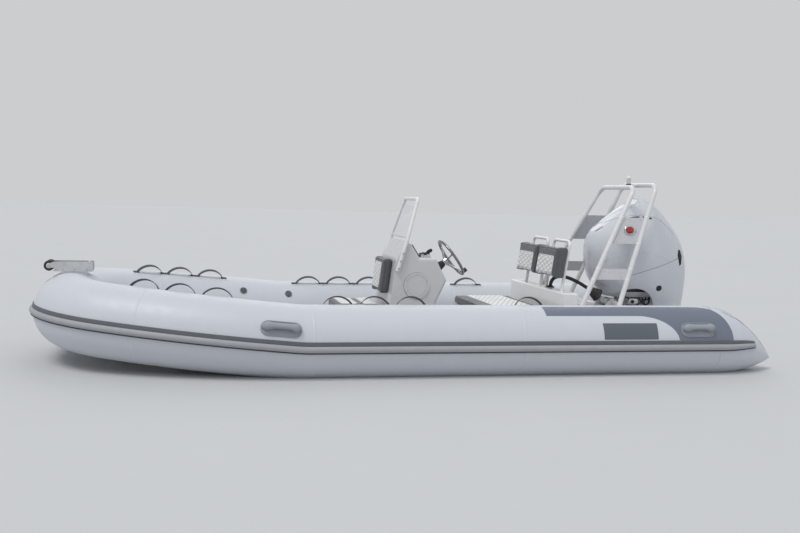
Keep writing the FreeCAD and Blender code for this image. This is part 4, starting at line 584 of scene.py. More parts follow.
def strake_row(along, low, high, edge, proud, side, swell):
    """A band's section: eased edges and a crown between them, bedded on the tube."""
    row = []
    for k in range(13):
        lift = (edge + (proud - edge) * math.sin(math.pi * k / 12)) * swell
        if k in (0, 12):
            lift = -0.002
        elif k in (1, 11):
            lift *= 0.82
        share = min(1, max(0, (k - 1) / 10))
        row.append(tube_point(along, low + (high - low) * share + strake_lift(along), lift, side))
    return row


def rub_strakes():
    """The strake's three bands, level round the cones and square at their ends."""
    stations = [STRAKE_END, STRAKE_END + 0.004]
    stations += [STRAKE_END + 0.012 - STRAKE_END * k / STRAKE_PARTS for k in range(STRAKE_PARTS)]
    steps = int(TUBE_LENGTH / STRAKE_STEP)
    stations += [0.012 + (TUBE_LENGTH - 0.012) * k / steps for k in range(steps + 1)]
    swells = STRAKE_ROWS + (1.0,) * (len(stations) - len(STRAKE_ROWS))
    for name, low, high, edge, proud, finish, slot in STRAKES:
        shape = Shape()
        for side in (1, -1):
            shape.rows([strake_row(along, low, high, edge, proud, side, swell)
                        for along, swell in zip(stations, swells)])
        strake = dressed(shape.piece("strake_" + name), finish, sharp=50)
        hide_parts("rub_" + name)


HANDLE_PLACES, HANDLE_ANGLE = (0.882, -2.060), 25
HANDLE_HALF_LONG, HANDLE_HALF_HIGH, HANDLE_ROUND, HANDLE_PLATE = 0.131, 0.053, 0.048, 0.005
HANDLE_RIM, HANDLE_RIM_RADIUS = 0.006, 0.0042
GRIP_LIFT = 1.6
# Columns of a handle's grip, from its middle to its end: distance along it, height over the skin, radius.
GRIP_LINE = ((0.0, 0.0300, 0.0175), (0.032, 0.0298, 0.0178), (0.054, 0.0290, 0.0190),
             (0.068, 0.0265, 0.0250), (0.084, 0.0230, 0.0290), (0.098, 0.0160, 0.0280),
             (0.110, 0.0070, 0.0220), (0.117, -0.0010, 0.0130))


def carrying_handles():
    """Moulded rubber handles: a rimmed oval plate and a fat grip whose lobed ends grow out of it."""
    shape, sizes = Shape(), (HANDLE_HALF_LONG, HANDLE_HALF_HIGH, HANDLE_ROUND)
    grip = [(-reach, high, radius) for reach, high, radius in reversed(GRIP_LINE[1:])] + list(GRIP_LINE)
    for side in (1, -1):
        for place in HANDLE_PLACES:
            along = along_at(place)
            skin_patch(shape, along, HANDLE_ANGLE, *sizes, HANDLE_PLATE, side)
            inner = [size - HANDLE_RIM for size in sizes]
            outline = rounded_box_outline((0, 0, 0), X_AXIS, Y_AXIS, *inner, 10)
            rim = [tube_point(along + p.x, HANDLE_ANGLE + math.degrees(p.y / TUBE_RADIUS),
                              HANDLE_PLATE - 0.0005, side) for p in outline]
            shape.tube(rim, HANDLE_RIM_RADIUS, 8, closed=True)
            line = [tube_point(along + reach, HANDLE_ANGLE + GRIP_LIFT, high, side)
                    for reach, high, radius in grip]
            shape.tube(line, [radius for reach, high, radius in grip], 24)
    handles = dressed(shape.piece("handles"), "handle", sharp=60)
    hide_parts("carry_handles")


LOOP_RISE, STRAP_STEPS = 0.060, 32
STRAP_SECTION = ((-0.017, 0.0008), (-0.016, 0), (0.016, 0), (0.017, 0.0008), (0.017, 0.003), (0.016, 0.0038),
                 (0.005, 0.0044), (-0.005, 0.0044), (-0.016, 0.0038), (-0.017, 0.003))


def webbing_loops():
    """Webbing straps bent to arcs on the tubes' tops."""
    shape = Shape()
    radius = (LOOP_HALF ** 2 + LOOP_RISE ** 2) / (2 * LOOP_RISE)
    reach, turn = math.acos((radius - LOOP_RISE) / radius) + math.radians(2), math.radians(LOOP_ANGLE)
    for side in (1, -1):
        for along in LOOP_PLACES:
            place, forward, outboard, up, tube = tube_frame(along)
            outward = outboard * math.cos(turn) + up * math.sin(turn)
            across = outward.cross(forward).normalized()
            middle = place + outward * (tube + LOOP_RISE - radius)
            rows = []
            for step in range(STRAP_STEPS + 1):
                angle = reach * (2 * step / STRAP_STEPS - 1)
                ray = outward * math.cos(angle) + forward * math.sin(angle)
                points = [middle + ray * (radius + high) + across * wide for wide, high in STRAP_SECTION]
                rows.append([Vector((point.x, point.y * side, point.z)) for point in points])
            shape.rows(rows, closed=True, caps=True)
    loops = dressed(shape.piece("loops"), "webbing", sharp=60)
    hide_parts("grab_loops")


def loop_feet():
    """White patches and the webbing's sewn feet at the ends of every grab loop."""
    patches, feet = Shape(), Shape()
    for side in (1, -1):
        for place in LOOP_PLACES:
            for end in (-1, 1):
                for shape, out, *sizes in ((patches, 0.012, 0.042, 0.034, 0.012, 0.0022),
                                           (feet, 0.014, 0.024, 0.017, 0.003, 0.0046)):
                    skin_patch(shape, place + end * (LOOP_HALF + out), LOOP_ANGLE, *sizes, side)
    dressed(patches.piece("loop_patches"), "tape", sharp=50)
    dressed(feet.piece("loop_feet"), "webbing", sharp=50)


# The grey panel along the stern, and the bare plate under it.
PANEL_FRONT, PANEL_LOW, PANEL_HIGH, STRAKE_TOP = -0.948, 51.3, 78.0, 8.2
PANEL_DIP_START, PANEL_DIP_END, PANEL_TAIL_START, PANEL_TAIL_END = -1.62, -1.912, -2.10, -2.338
PANEL_PARTS, TAIL_PARTS, TAIL_LONG = 150, 8, 0.00834
PLATE_FRONT, PLATE_LONG, PLATE_LIMITS = -1.345, 0.405, (9.6, 36.6)


def panel_limits(x):
    """Lowest and highest angle of the grey panel at a distance forward."""
    low, high = PANEL_LOW, PANEL_HIGH
    if x < PANEL_DIP_START:
        share = min(1, (PANEL_DIP_START - x) / (PANEL_DIP_START - PANEL_DIP_END))
        low = STRAKE_TOP + (PANEL_LOW - STRAKE_TOP) * (1 - share * share) ** 0.62
    if x < PANEL_TAIL_START:
        share = min(1, (PANEL_TAIL_START - x) / (PANEL_TAIL_START - PANEL_TAIL_END))
        high = STRAKE_TOP + (PANEL_HIGH - STRAKE_TOP) * (1 - share * share) ** 0.5
    return low, max(high, low + 0.05)


def skin_panel(shape, stations, limits, proud, side, across=14):
    """A decal on the skin: rows between a low and a high angle at each station, their edges sunk."""
    rows = []
    for x in stations:
        low, high = limits(x)
        row = [tube_point(along_at(x), low + (high - low) * k / across, proud, side)
               for k in range(across + 1)]
        rows.append([tube_point(along_at(x), low, TAPE_SUNK, side), *row,
                     tube_point(along_at(x), high, TAPE_SUNK, side)])
    ends = []
    for x in (stations[0], stations[-1]):
        low, high = limits(x)
        steps = [max(0, min(across, k - 1)) for k in range(across + 3)]
        ends.append([tube_point(along_at(x), low + (high - low) * k / across, TAPE_SUNK, side) for k in steps])
    shape.rows([ends[0], *rows, ends[1]])


def stern_panels():
    """The grey panel along each stern and the bare name plate under it."""
    panel, plate = Shape(), Shape()
    stations = [PANEL_FRONT + (PANEL_TAIL_END - PANEL_FRONT) * k / PANEL_PARTS for k in range(PANEL_PARTS)]
    stations += [PANEL_TAIL_END + TAIL_LONG * (1 - k / TAIL_PARTS) ** 2 for k in range(1, TAIL_PARTS + 1)]
    plate_stations = [PLATE_FRONT - PLATE_LONG * k / 20 for k in range(21)]
    for side in (1, -1):
        skin_panel(panel, stations, panel_limits, 0.0012, side)
        skin_panel(plate, plate_stations, lambda x: PLATE_LIMITS, 0.0014, side)
    dressed(panel.piece("stern_panels"), "decal", sharp=60)
    dressed(plate.piece("name_plates"), "plate", sharp=60)


# Columns: distance forward, and how far the cap's slot is turned.
VALVES, VALVE_ANGLE, VALVE_PROUD = ((1.029, 0.3), (0.641, -0.6)), 140, 0.0062


def valve_details():
    """A bead and a bayonet slot on each valve cap."""
    shape = Shape()
    for side in (1, -1):
        for x, turn in VALVES:
            along = along_at(x)
            while tube_frame(along)[0].x < x:
                along += 0.002
            centre = tube_point(along, VALVE_ANGLE, VALVE_PROUD, side)
            normal = (tube_point(along, VALVE_ANGLE, 0.1, side) - centre).normalized()
            shape.turned(centre, normal, [(0.0275, -0.004), (0.0275, 0.0015), (0.0245, 0.0022),
                                          (0.0225, 0.0008), (0.0222, -0.001)], 36)
            flat = normal.orthogonal().normalized()
            bar = flat * math.cos(turn) + normal.cross(flat) * math.sin(turn)
            outline = rounded_box_outline(centre, bar, normal.cross(bar), 0.019, 0.0045, 0.004, 3)
            shape.plate(outline, normal * 0.004, 0.001)
    dressed(shape.piece("valve_caps"), "valve")


# Padding: each pad swells by cloth simulation from its solid's shape, then gets its quilts and piping.

CLOTH_FRAMES, CLOTH_PRESSURE = 20, 4.0
QUILT_WIDE, QUILT_LOW, QUILT_RISE, QUILT_GRID = 0.090, 0.040, 0.0065, 0.0034
# Of the next two values, the second sets how wide the painted shade along each sewn channel reaches.
QUILT_RIM, CHANNEL_SHADE_WIDE = 0.012, 0.36
PIPING, WELT = 0.0032, 0.0038

PAD_SHRINK, PAD_CAP, SEAT_GAP = 0.006, 0.010, 0.0004
# The voxel of each pad's skin.
PADS = {"helm_seat_cushion": 0.009, "front_seat_cushion": 0.007, "backrest_pad_port": 0.006,
        "backrest_pad_starboard": 0.006, "console_cushion": 0.006}
BACK_LEAN, CONSOLE_LEAN = 0.154, -0.1246
# A pad rests on one side of a plane: a point of it and its outward direction.
PAD_SEATS = {
    "helm_seat_cushion": (Vector((0, 0, 0.3353)), Z_AXIS),
    "front_seat_cushion": (Vector((0, 0, 0.3353)), Z_AXIS),
    "backrest_pad_port": (Vector((-1.310, 0, 0.618)), Vector((1, 0, BACK_LEAN)).normalized()),
    "backrest_pad_starboard": (Vector((-1.310, 0, 0.618)), Vector((1, 0, BACK_LEAN)).normalized()),
    "console_cushion": (Vector((-0.0127, 0, 0.470)), Vector((1, 0, -CONSOLE_LEAN)).normalized()),
}


def remeshed(piece, voxel):
    """The piece's mesh as an even skin of small faces."""
    layer = piece.modifiers.new("even", "REMESH")
    layer.mode = "VOXEL"
    layer.voxel_size = voxel
    mesh = bpy.data.meshes.new_from_object(piece.evaluated_get(bpy.context.evaluated_depsgraph_get()))
    piece.modifiers.clear()
    piece.data = mesh


def start_pad(node, voxel):
    low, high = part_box(node)
    centre = (low + high) / 2
    pad = linked(bpy.data.objects.new("pad_" + node, NODES[node].data.copy()))
    scale = [max(0.5, 1 - 2 * PAD_SHRINK / size) for size in high - low]
    for vertex in pad.data.vertices:
        vertex.co = [middle + (value - middle) * factor
                     for value, middle, factor in zip(vertex.co, centre, scale)]
    remeshed(pad, voxel)
    return pad


def add_cloth(pad):
    layer = pad.modifiers.new("swell", "CLOTH")
    settings = layer.settings
    settings.quality = 4
    settings.mass = 0.25
    settings.tension_stiffness = settings.compression_stiffness = 18
    settings.shear_stiffness = 8
    settings.bending_stiffness = 0.6
    settings.use_pressure = True
    settings.uniform_pressure_force = CLOTH_PRESSURE
    settings.effector_weights.gravity = 0
    layer.collision_settings.use_collision = False
    layer.point_cache.frame_start = 1
    layer.point_cache.frame_end = CLOTH_FRAMES


def settle_pad(pad, node, before, after):
    """Keeps the swelling within its cap and on its seat, smooths it once and subdivides the skin."""
    seat, outward = PAD_SEATS[node]
    for vertex, start, end in zip(pad.data.vertices, before, after):
        move = end - start
        if move.length > PAD_CAP:
            move *= PAD_CAP / move.length
        place = start + move
        under = (place - seat).dot(outward)
        if under < SEAT_GAP:
            place += outward * (SEAT_GAP - under)
        vertex.co = place
    layer = pad.modifiers.new("fine", "SUBSURF")
    layer.levels = layer.render_levels = 1
    mesh = bpy.data.meshes.new_from_object(pad.evaluated_get(bpy.context.evaluated_depsgraph_get()))
    pad.modifiers.clear()
    pad.data = mesh


def make_pads():
    scene = bpy.context.scene
    pads = {node: start_pad(node, voxel) for node, voxel in PADS.items()}
    before = {node: [v.co.copy() for v in pad.data.vertices] for node, pad in pads.items()}
    after = before
    for pad in pads.values():
        add_cloth(pad)
    for moment in range(1, CLOTH_FRAMES + 1):
        scene.frame_set(moment)
    graph = bpy.context.evaluated_depsgraph_get()
    after = {node: [v.co.copy() for v in pad.evaluated_get(graph).data.vertices]
             for node, pad in pads.items()}
    for pad in pads.values():
        pad.modifiers.clear()
    scene.frame_set(1)
    for node, pad in pads.items():
        settle_pad(pad, node, before[node], after[node])
        dressed(pad, "vinyl", sharp=80)
        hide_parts(node)
    return pads


def skin_of(piece):
    """A tree for casting rays onto a piece."""
    mesh = piece.data
    points = [vertex.co.copy() for vertex in mesh.vertices]
    return BVHTree.FromPolygons(points, [tuple(face.vertices) for face in mesh.polygons])


CAST_REACH = 0.3


class Face:
    """A flat window in front of a surface: points on it are cast back onto that surface."""

    def __init__(self, tree, centre, across, up):
        self.tree, self.centre = tree, Vector(centre)
        self.across, self.up = Vector(across).normalized(), Vector(up).normalized()
        self.out = self.across.cross(self.up).normalized()

    def at(self, u, v, lift):
        start = self.centre + self.across * u + self.up * v + self.out * CAST_REACH
        hit = self.tree.ray_cast(start, -self.out)[0]
        if hit is None:
            hit = self.tree.find_nearest(start - self.out * CAST_REACH)[0]
        return hit + self.out * lift


def corner_inset(u, v, half_u, half_v, corner):
    """Distance inside a rounded rectangle; negative outside."""
    du, dv = abs(u) - (half_u - corner), abs(v) - (half_v - corner)
    if du > 0 and dv > 0:
        return corner - math.hypot(du, dv)
    return min(half_u - abs(u), half_v - abs(v))


def rounded_steps(half_u, half_v, corner, inset):
    """Points round a rounded rectangle, close enough to follow a curved surface."""
    corners = rounded_box_outline((0, 0, 0), X_AXIS, Y_AXIS, half_u - inset, half_v - inset,
                                  max(0.002, corner - inset), 6)
    points = []
    for index, point in enumerate(corners):
        onward = corners[(index + 1) % len(corners)]
        parts = 14 if (onward - point).length > 0.03 else 1
        points += [point.lerp(onward, part / parts) for part in range(parts)]
    return points


def quilt(name, face, half_u, half_v, corner, pitch_u, pitch_v):
    """A sewn panel: pillows between crossing seams, painted shade marked along the seams, and its rim tucked
    under the piping.
    """
    shape, painted_shade, rows = Shape(), [], []
    columns, lines = int(2 * half_u / QUILT_GRID), int(2 * half_v / QUILT_GRID)
    for line in range(lines + 1):
        row = []
        for column in range(columns + 1):
            u, v = -half_u + 2 * half_u * column / columns, -half_v + 2 * half_v * line / lines
            inside = corner_inset(u, v, half_u, half_v, corner)
            if inside < 0:
                hub_u, hub_v = math.copysign(half_u - corner, u), math.copysign(half_v - corner, v)
                out = Vector((u - hub_u, v - hub_v)).normalized() * corner
                u, v, inside = hub_u + out.x, hub_v + out.y, 0
            first = abs(math.sin(math.pi * (u / pitch_u + v / pitch_v)))
            second = abs(math.sin(math.pi * (u / pitch_u - v / pitch_v)))
            pillow = (min(first, second) * 0.75 + first * second * 0.25) ** 0.5
            rim = min(1, inside / QUILT_RIM) ** 0.5
            row.append(face.at(u, v, -0.002 + rim * (0.0028 + QUILT_RISE * pillow)))
            # Painted shade: darkest in the sewn channels, fading out towards the pillows' crowns.
            painted_shade.append(max(0.0, 1 - min(first, second) / CHANNEL_SHADE_WIDE))
        rows.append(row)
    shape.rows(rows)
    dressed(shape.piece(name, {"channel_shade": painted_shade}), "quilt", sharp=75)


def piping(name, loops, finish, radius):
    """Cords along closed loops of (face, half u, half v, corner, inset)."""
    shape = Shape()
    for face, half_u, half_v, corner, inset in loops:
        line = [face.at(p.x, p.y, radius * 0.55) for p in rounded_steps(half_u, half_v, corner, inset)]
        shape.tube(line, radius, 8, closed=True)
    dressed(shape.piece(name), finish, sharp=80)


BACK_UP, CONSOLE_UP = Vector((-BACK_LEAN, 0, 1)), Vector((CONSOLE_LEAN, 0, 1))
# Sewn panels. Columns: name, node, centre, across, up, then half width, half height and corner.
QUILTS = [
    ("helm_seat", "helm_seat_cushion", (-0.952, 0, 0.40), X_AXIS, Y_AXIS, (0.148, 0.440, 0.028)),
    ("front_seat_fore", "front_seat_cushion", (0.282, 0, 0.40), X_AXIS, Y_AXIS, (0.058, 0.196, 0.018)),
    ("front_seat_aft", "front_seat_cushion", (0.120, 0, 0.40), X_AXIS, Y_AXIS, (0.052, 0.196, 0.018)),
    *[("back_" + name, "backrest_pad_" + name, (-1.237, side * 0.222, 0.710), Y_AXIS, BACK_UP,
       (0.158, 0.077, 0.024)) for name, side in SIDES],
    ("console", "console_cushion", (0.053, 0, 0.612), Y_AXIS, CONSOLE_UP, (0.118, 0.094, 0.022)),
]
# Welts round the pads. Columns: node, centre, across, up, then half width, half height, corner and inset.
WELTS = [
    ("helm_seat_cushion", (-0.952, 0, 0.40), X_AXIS, Y_AXIS, (0.248, 0.498, 0.040, 0.020)),
    ("front_seat_cushion", (0.216, 0, 0.40), X_AXIS, Y_AXIS, (0.174, 0.248, 0.036, 0.019)),
    *[("backrest_pad_" + name, (-1.241, side * 0.222, 0.740), Y_AXIS, BACK_UP, (0.214, 0.1235, 0.030, 0.018))
      for name, side in SIDES],
    ("console_cushion", (0.053, 0, 0.6075), Y_AXIS, CONSOLE_UP, (0.185, 0.1385, 0.030, 0.018)),
]


def dress_pads():
    """Swells the pads, then lays the quilts, their piping and the welts on them; diamonds are wide across."""
    trees = {node: skin_of(pad) for node, pad in make_pads().items()}
    white = []
    for name, node, centre, across, up, sizes in QUILTS:
        face = Face(trees[node], centre, across, up)
        pitches = (QUILT_LOW, QUILT_WIDE) if across is X_AXIS else (QUILT_WIDE, QUILT_LOW)
        quilt("quilt_" + name, face, *sizes, *pitches)
        white.append((face, *sizes, 0))
    dark = [(Face(trees[node], centre, across, up), *sizes) for node, centre, across, up, sizes in WELTS]
    piping("piping_white", white, "white_vinyl", PIPING)
    piping("welts", dark, "vinyl", WELT)


# Helm, console and windscreen fittings.

DASH_TOP, DASH_LOW, DASH_THICK = Vector((-0.165, 0, 0.851)), Vector((-0.228, 0, 0.752)), 0.0093
GAUGE_OUT, TICKS, TICK_RADIUS, HAND_TURN = 0.042, 11, 0.0205, -1.9
SWITCH_OUT, SWITCH_PITCH, SWITCH_DROP = 0.105, 0.034, 0.046


def dash_fittings():
    """Two gauges and two banks of rocker switches on the sloping panel, with nothing written on them."""
    along = (DASH_LOW - DASH_TOP).normalized()
    out = Vector((along.z, 0, -along.x))
    middle = (DASH_TOP + DASH_LOW) / 2 + out * DASH_THICK
    bezels, dials, switches, needles = Shape(), Shape(), Shape(), Shape()
    for side in (-1, 1):
        centre = middle + Y_AXIS * side * GAUGE_OUT
        bezels.turned(centre, out, [(0.031, -0.001), (0.031, 0.004), (0.029, 0.006), (0.026, 0.006),
                                    (0.0245, 0.003), (0.0245, -0.001)], 40)
        dials.turned(centre, out, [(0.0243, 0.0005), (0.0243, 0.0022), (0.001, 0.0024)], 40)
        # Bars: turn, distance from the gauge's centre, height, half length, half width, corner, thickness.
        bars = [(math.radians(-130 + 26 * tick), TICK_RADIUS, 0.0022, 0.0022, 0.0006, 0.0005, 0.0005)
                for tick in range(TICKS)] + [(HAND_TURN, 0.007, 0.0026, 0.012, 0.0009, 0.0008, 0.0006)]
        for turn, reach, high, half_long, half_wide, corner, thick in bars:
            ray = Y_AXIS * math.sin(turn) - along * math.cos(turn)
            place = centre + ray * reach + out * high
            bar = rounded_box_outline(place, ray, ray.cross(out), half_long, half_wide, corner, 2)
            needles.plate(bar, out * thick)
        needles.turned(centre, out, [(0.0035, 0.002), (0.0035, 0.004), (0.002, 0.0046)], 16)
        for column in range(3):
            for line in (-0.5, 0.5):
                place = (middle + Y_AXIS * side * (SWITCH_OUT + SWITCH_PITCH * column)
                         + along * line * SWITCH_DROP)
                frame_line = rounded_box_outline(place, Y_AXIS, along, 0.0125, 0.019, 0.003)
                switches.plate(frame_line, out * 0.003, 0.001)
                rocker = rounded_box_outline(place + out * 0.003, Y_AXIS, along, 0.009, 0.015, 0.002)
                switches.plate(rocker, out * 0.0035, 0.0012)
    dressed(bezels.piece("gauge_bezels"), "steel")
    dressed(dials.piece("gauge_dials"), "black")
    dressed(needles.piece("gauge_marks"), "coat")
    dressed(switches.piece("switches"), "black")


HATCH = Vector((-0.208, 0.270, 0.546))
HATCH_DIP_TURNS, HATCH_DIP_OUT, HATCH_SCREW_OUT = (55, 235), 0.040, 0.089
SCREEN_RAKE = 0.159 / 0.535  # How far the windscreen leans aft, for each metre of height.
SCREEN_BOLT_OUT, SCREEN_BOLT_PITCH = 0.3125, 0.055
SEAL_FOOT, SEAL_HALF = 0.900, 0.262


def console_fittings():
    """The hatch's screws, painted shadow in its joints, raised ring and dips, and the bolts of the
    windscreen's frame.
    """
    screws, bolts, joint_shadows, ring = Shape(), Shape(), Shape(), Shape()
    turns = [math.radians(30 + 60 * k) for k in range(6)]
    screw_heads(screws, [HATCH + Vector((math.cos(a) * HATCH_SCREW_OUT, 0.007, math.sin(a) * HATCH_SCREW_OUT))
                         for a in turns], Y_AXIS, 0.0044)
    for side in (1, -1):
        out = Y_AXIS * side
        places = [Vector((-0.0585 - 0.017 * k, side * SCREEN_BOLT_OUT, 0.675 + SCREEN_BOLT_PITCH * k))
                  for k in range(3)]
        screw_heads(bolts, places, out, 0.0048, 0.0032)
        for place in places:
            bolts.turned(place - out * 0.0155, out, [(0.0072, 0), (0.0072, 0.0145), (0.0062, 0.0158)], 24)
    dressed(screws.piece("hatch_screws"), "steel")
    dressed(bolts.piece("screen_bolts"), "steel")
    # Thin dark rings of painted shadow in the joints round the hatch's ring and round its lid.
    joint_shadows.turned(HATCH, Y_AXIS, [(0.0975, 0.0002), (0.0977, 0.0010), (0.0992, 0.0010), (0.0996, 0.0002)], 72)
    joint_shadows.turned(HATCH, Y_AXIS, [(0.0789, 0.0046), (0.0790, 0.0052), (0.0799, 0.0052), (0.0800, 0.0046)], 72)
    dressed(joint_shadows.piece("hatch_joint_shadows"), "shadow_line")
    ring.turned(HATCH + Y_AXIS * 0.0049, Y_AXIS,
                [(0.070, -0.001), (0.070, 0.0006), (0.067, 0.0012), (0.064, 0.0006), (0.064, -0.001)], 60)
    for turn in HATCH_DIP_TURNS:
        angle = math.radians(turn)
        dip = HATCH + Vector((math.cos(angle), 0, -math.sin(angle))) * HATCH_DIP_OUT + Y_AXIS * 0.005
        ring.turned(dip, Y_AXIS, [(0.0150, -0.0003), (0.0148, 0.0005), (0.0130, 0.0011), (0.0112, 0.0005),
                                  (0.0085, -0.0010), (0.0050, -0.0021), (0.0004, -0.0025)], 32)
    dressed(ring.piece("hatch_bead"), "hatch", sharp=60)


def screen_trim():
    """A pale seal along the foot of the clear panel."""
    low_x = -0.055 - SCREEN_RAKE * (SEAL_FOOT - 0.655)
    points = [Vector((low_x, SEAL_HALF * (k / 12 - 1), SEAL_FOOT)) for k in range(25)]
    dressed(Shape().tube(points, 0.0045, 8).piece("screen_seal"), "arch_plate")


WHEEL_TILT = math.radians(54.4)
WHEEL_AXIS = Vector((-math.sin(WHEEL_TILT), 0, math.cos(WHEEL_TILT)))
WHEEL_CENTRE = Vector((-0.542, 0, 0.742))
WHEEL_RADIUS, WHEEL_RIM, WHEEL_SPOKES, WHEEL_SPOKE_ANGLE = 0.155, 0.0105, 5, math.radians(36)
RIM_STEPS, RIM_GRIPS, RIM_GROOVE = 180, 30, 0.0007


def wheel_fittings():
    """A domed centre cap and its ring, a ferrule at each spoke's end, and the rim with its finger grooves."""
    hub = WHEEL_CENTRE - WHEEL_AXIS * 0.042
    cap = Shape().turned(hub, WHEEL_AXIS, [(0.031, -0.002), (0.031, 0.003), (0.029, 0.006), (0.018, 0.010),
                                           (0.006, 0.0115)], 40)
    dressed(cap.piece("wheel_cap"), "black", body="helm")
    bright = Shape().turned(hub, WHEEL_AXIS, [(0.034, -0.001), (0.034, 0.0022), (0.0315, 0.0034),
                                              (0.0312, -0.001)], 40)
    radial = WHEEL_AXIS.cross(Y_AXIS).normalized()
    for index in range(WHEEL_SPOKES):
        turn = WHEEL_SPOKE_ANGLE + 2 * math.pi * index / WHEEL_SPOKES
        out = Matrix.Rotation(turn, 3, WHEEL_AXIS) @ radial
        end = WHEEL_CENTRE + out * WHEEL_RADIUS
        along = (end - (hub - WHEEL_AXIS * 0.011 + out * 0.028)).normalized()
        bright.turned(end - along * 0.026, along, [(0.0062, 0), (0.0078, 0.003), (0.0084, 0.008),
                                                   (0.0084, 0.018)], 20)
    dressed(bright.piece("wheel_cap_ring"), "steel", body="helm")
    other = WHEEL_AXIS.cross(radial)
    turns = [2 * math.pi * step / RIM_STEPS for step in range(RIM_STEPS)]
    line = [WHEEL_CENTRE + (radial * math.cos(turn) + other * math.sin(turn)) * WHEEL_RADIUS
            for turn in turns]
    radii = [WHEEL_RIM - RIM_GROOVE * (0.5 + 0.5 * math.cos(RIM_GRIPS * turn)) ** 6 for turn in turns]
    rim = Shape().tube(line, radii, 20, closed=True)
    rim = dressed(rim.piece("rim"), "rim", body="helm", sharp=80)
    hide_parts("wheel_rim")


THROTTLE = Vector((-0.300, 0.105, 0.752))
THROTTLE_HALF_LONG, THROTTLE_HALF_WIDE, THROTTLE_CORNER = 0.038, 0.031, 0.009
LEVER_LEAN, LEVER_FOOT, LEVER_RINGS = math.radians(61), 0.022, 5
LEVER_WAY = Vector((-math.sin(LEVER_LEAN), 0, math.cos(LEVER_LEAN)))


def throttle_box(levels, caps):
    """A box of the control's outline: levels hold (height, growth)."""
    return Shape().stacked(THROTTLE, X_AXIS, Y_AXIS, Z_AXIS, [
        (lift, THROTTLE_HALF_LONG + grow, THROTTLE_HALF_WIDE + grow, THROTTLE_CORNER + grow)
        for lift, grow in levels], caps=caps)


def throttle_fittings():
    """The engine control: a box with a bright cover, and a short lever with a ringed grip."""
    box = throttle_box(((0.0003, 0), (0.024, 0), (0.028, -0.002), (0.030, -0.007)), True)
    foot = THROTTLE + Z_AXIS * LEVER_FOOT
    box.tube([foot, foot + LEVER_WAY * 0.036], 0.0072, 16)
    for side in (-1, 1):
        box.turned(foot + Y_AXIS * side * 0.0305, Y_AXIS * side,
                   [(0.013, -0.001), (0.013, 0.002), (0.011, 0.0034)], 28)
    box = dressed(box.piece("throttle_control"), "black", sharp=50)
    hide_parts("throttle")
    cover = throttle_box(((0.0002, 0.006), (0.006, 0.006), (0.011, 0.004), (0.021, 0.0012),
                          (0.0225, -0.001)), False)
    dressed(cover.piece("throttle_cover"), "steel")
    grip = Shape().turned(foot, LEVER_WAY, [(0.0085, 0.026), (0.0118, 0.029), (0.0128, 0.036),
                                            (0.0132, 0.052), (0.0122, 0.063), (0.0085, 0.068),
                                            (0.0030, 0.0695)], 28)
    for index in range(LEVER_RINGS):
        grip.turned(foot + LEVER_WAY * (0.036 + 0.005 * index), LEVER_WAY,
                    [(0.0124, 0), (0.0141, 0.0012), (0.0141, 0.0026), (0.0124, 0.0038)], 24)
    dressed(grip.piece("throttle_grip"), "grip")


# Bow: bracket bolts, axle nuts and the patch on the tube.

ROLLER = Vector((2.416, 0, 0.651))
BRACKET_HALF, BUSH_HALF = 0.080, 0.0695
PATCH_HUB, PATCH_HALF, PATCH_PROUD = Vector((2.2570, 0, 0.3565)), 0.118, 0.0018
PATCH_TURNS = range(44, 162, 3)


def bow_fittings():
    """The bracket's bolts and axle nuts, the roller's bushes, and the patch that the bracket stands on."""
    bolts, hub, patch = Shape(), Shape(), Shape()
    for side in (1, -1):
        out = Y_AXIS * side
        places = [Vector((x, side * BRACKET_HALF, 0.628)) for x in (2.16, 2.24, 2.32)]
        screw_heads(bolts, places, out, 0.006, 0.004)
        bolts.turned(ROLLER + out * BRACKET_HALF, out,
                     [(0.0125, -0.0005), (0.0125, 0.006), (0.0105, 0.008), (0.006, 0.008)], 6)
    for side in (-1, 1):
        hub.turned(ROLLER + Y_AXIS * side * BUSH_HALF, Y_AXIS * side,
                   [(0.019, -0.003), (0.019, 0.001), (0.015, 0.0024), (0.0085, 0.0024)], 32)
    dressed(bolts.piece("bracket_bolts"), "steel")
    dressed(hub.piece("roller_bushes"), "bracket", body="anchor_roller")
    rows = []
    for degree in PATCH_TURNS:
        turn = math.radians(degree)
        radius = TUBE_RADIUS + (TAPE_SUNK if degree in (PATCH_TURNS[0], PATCH_TURNS[-1]) else PATCH_PROUD)
        rim = PATCH_HUB + (X_AXIS * math.cos(turn) + Z_AXIS * math.sin(turn)) * radius
        rows.append([rim + Y_AXIS * PATCH_HALF * (k / 6 - 1) for k in range(13)])
    patch.rows(rows)
    dressed(patch.piece("bow_patch"), "tape", sharp=60)


# Arch: lights, weld collars and foot bolts.

# Columns: distance and height of a hoop's top corner, and its rake; the fore one, then the aft one.
HOOPS = ((-1.912, 1.324, 0.525), (-2.097, 1.346, 0.384))
HOOP_TOP_OUT, HOOP_TOP, HOOP_SPREAD, HOOP_FOOT = 0.307, 1.324, 0.19, 0.346
# Lower and upper edge of each side plate.
ARCH_PLATES = ((0.618, 0.700), (0.890, 1.092))
NAV_HEIGHT, MAST_SEAT = 0.993, Vector((-2.0045, 0, 1.3377))


def arch_point(hoop, up, side):
    """A point on a leg of the fore (0) or aft (1) hoop at a height."""
    top_x, top_up, rake = HOOPS[hoop]
    return Vector((top_x + rake * (top_up - up), side * (HOOP_TOP_OUT + HOOP_SPREAD * (HOOP_TOP - up)), up))


def plate_point(up, share, side, proud):
    """A point on a side plate, between the hoops, and the plate's outward direction."""
    lean = Vector((0, side, HOOP_SPREAD)).normalized()
    return arch_point(0, up, side).lerp(arch_point(1, up, side), share) + lean * proud, lean


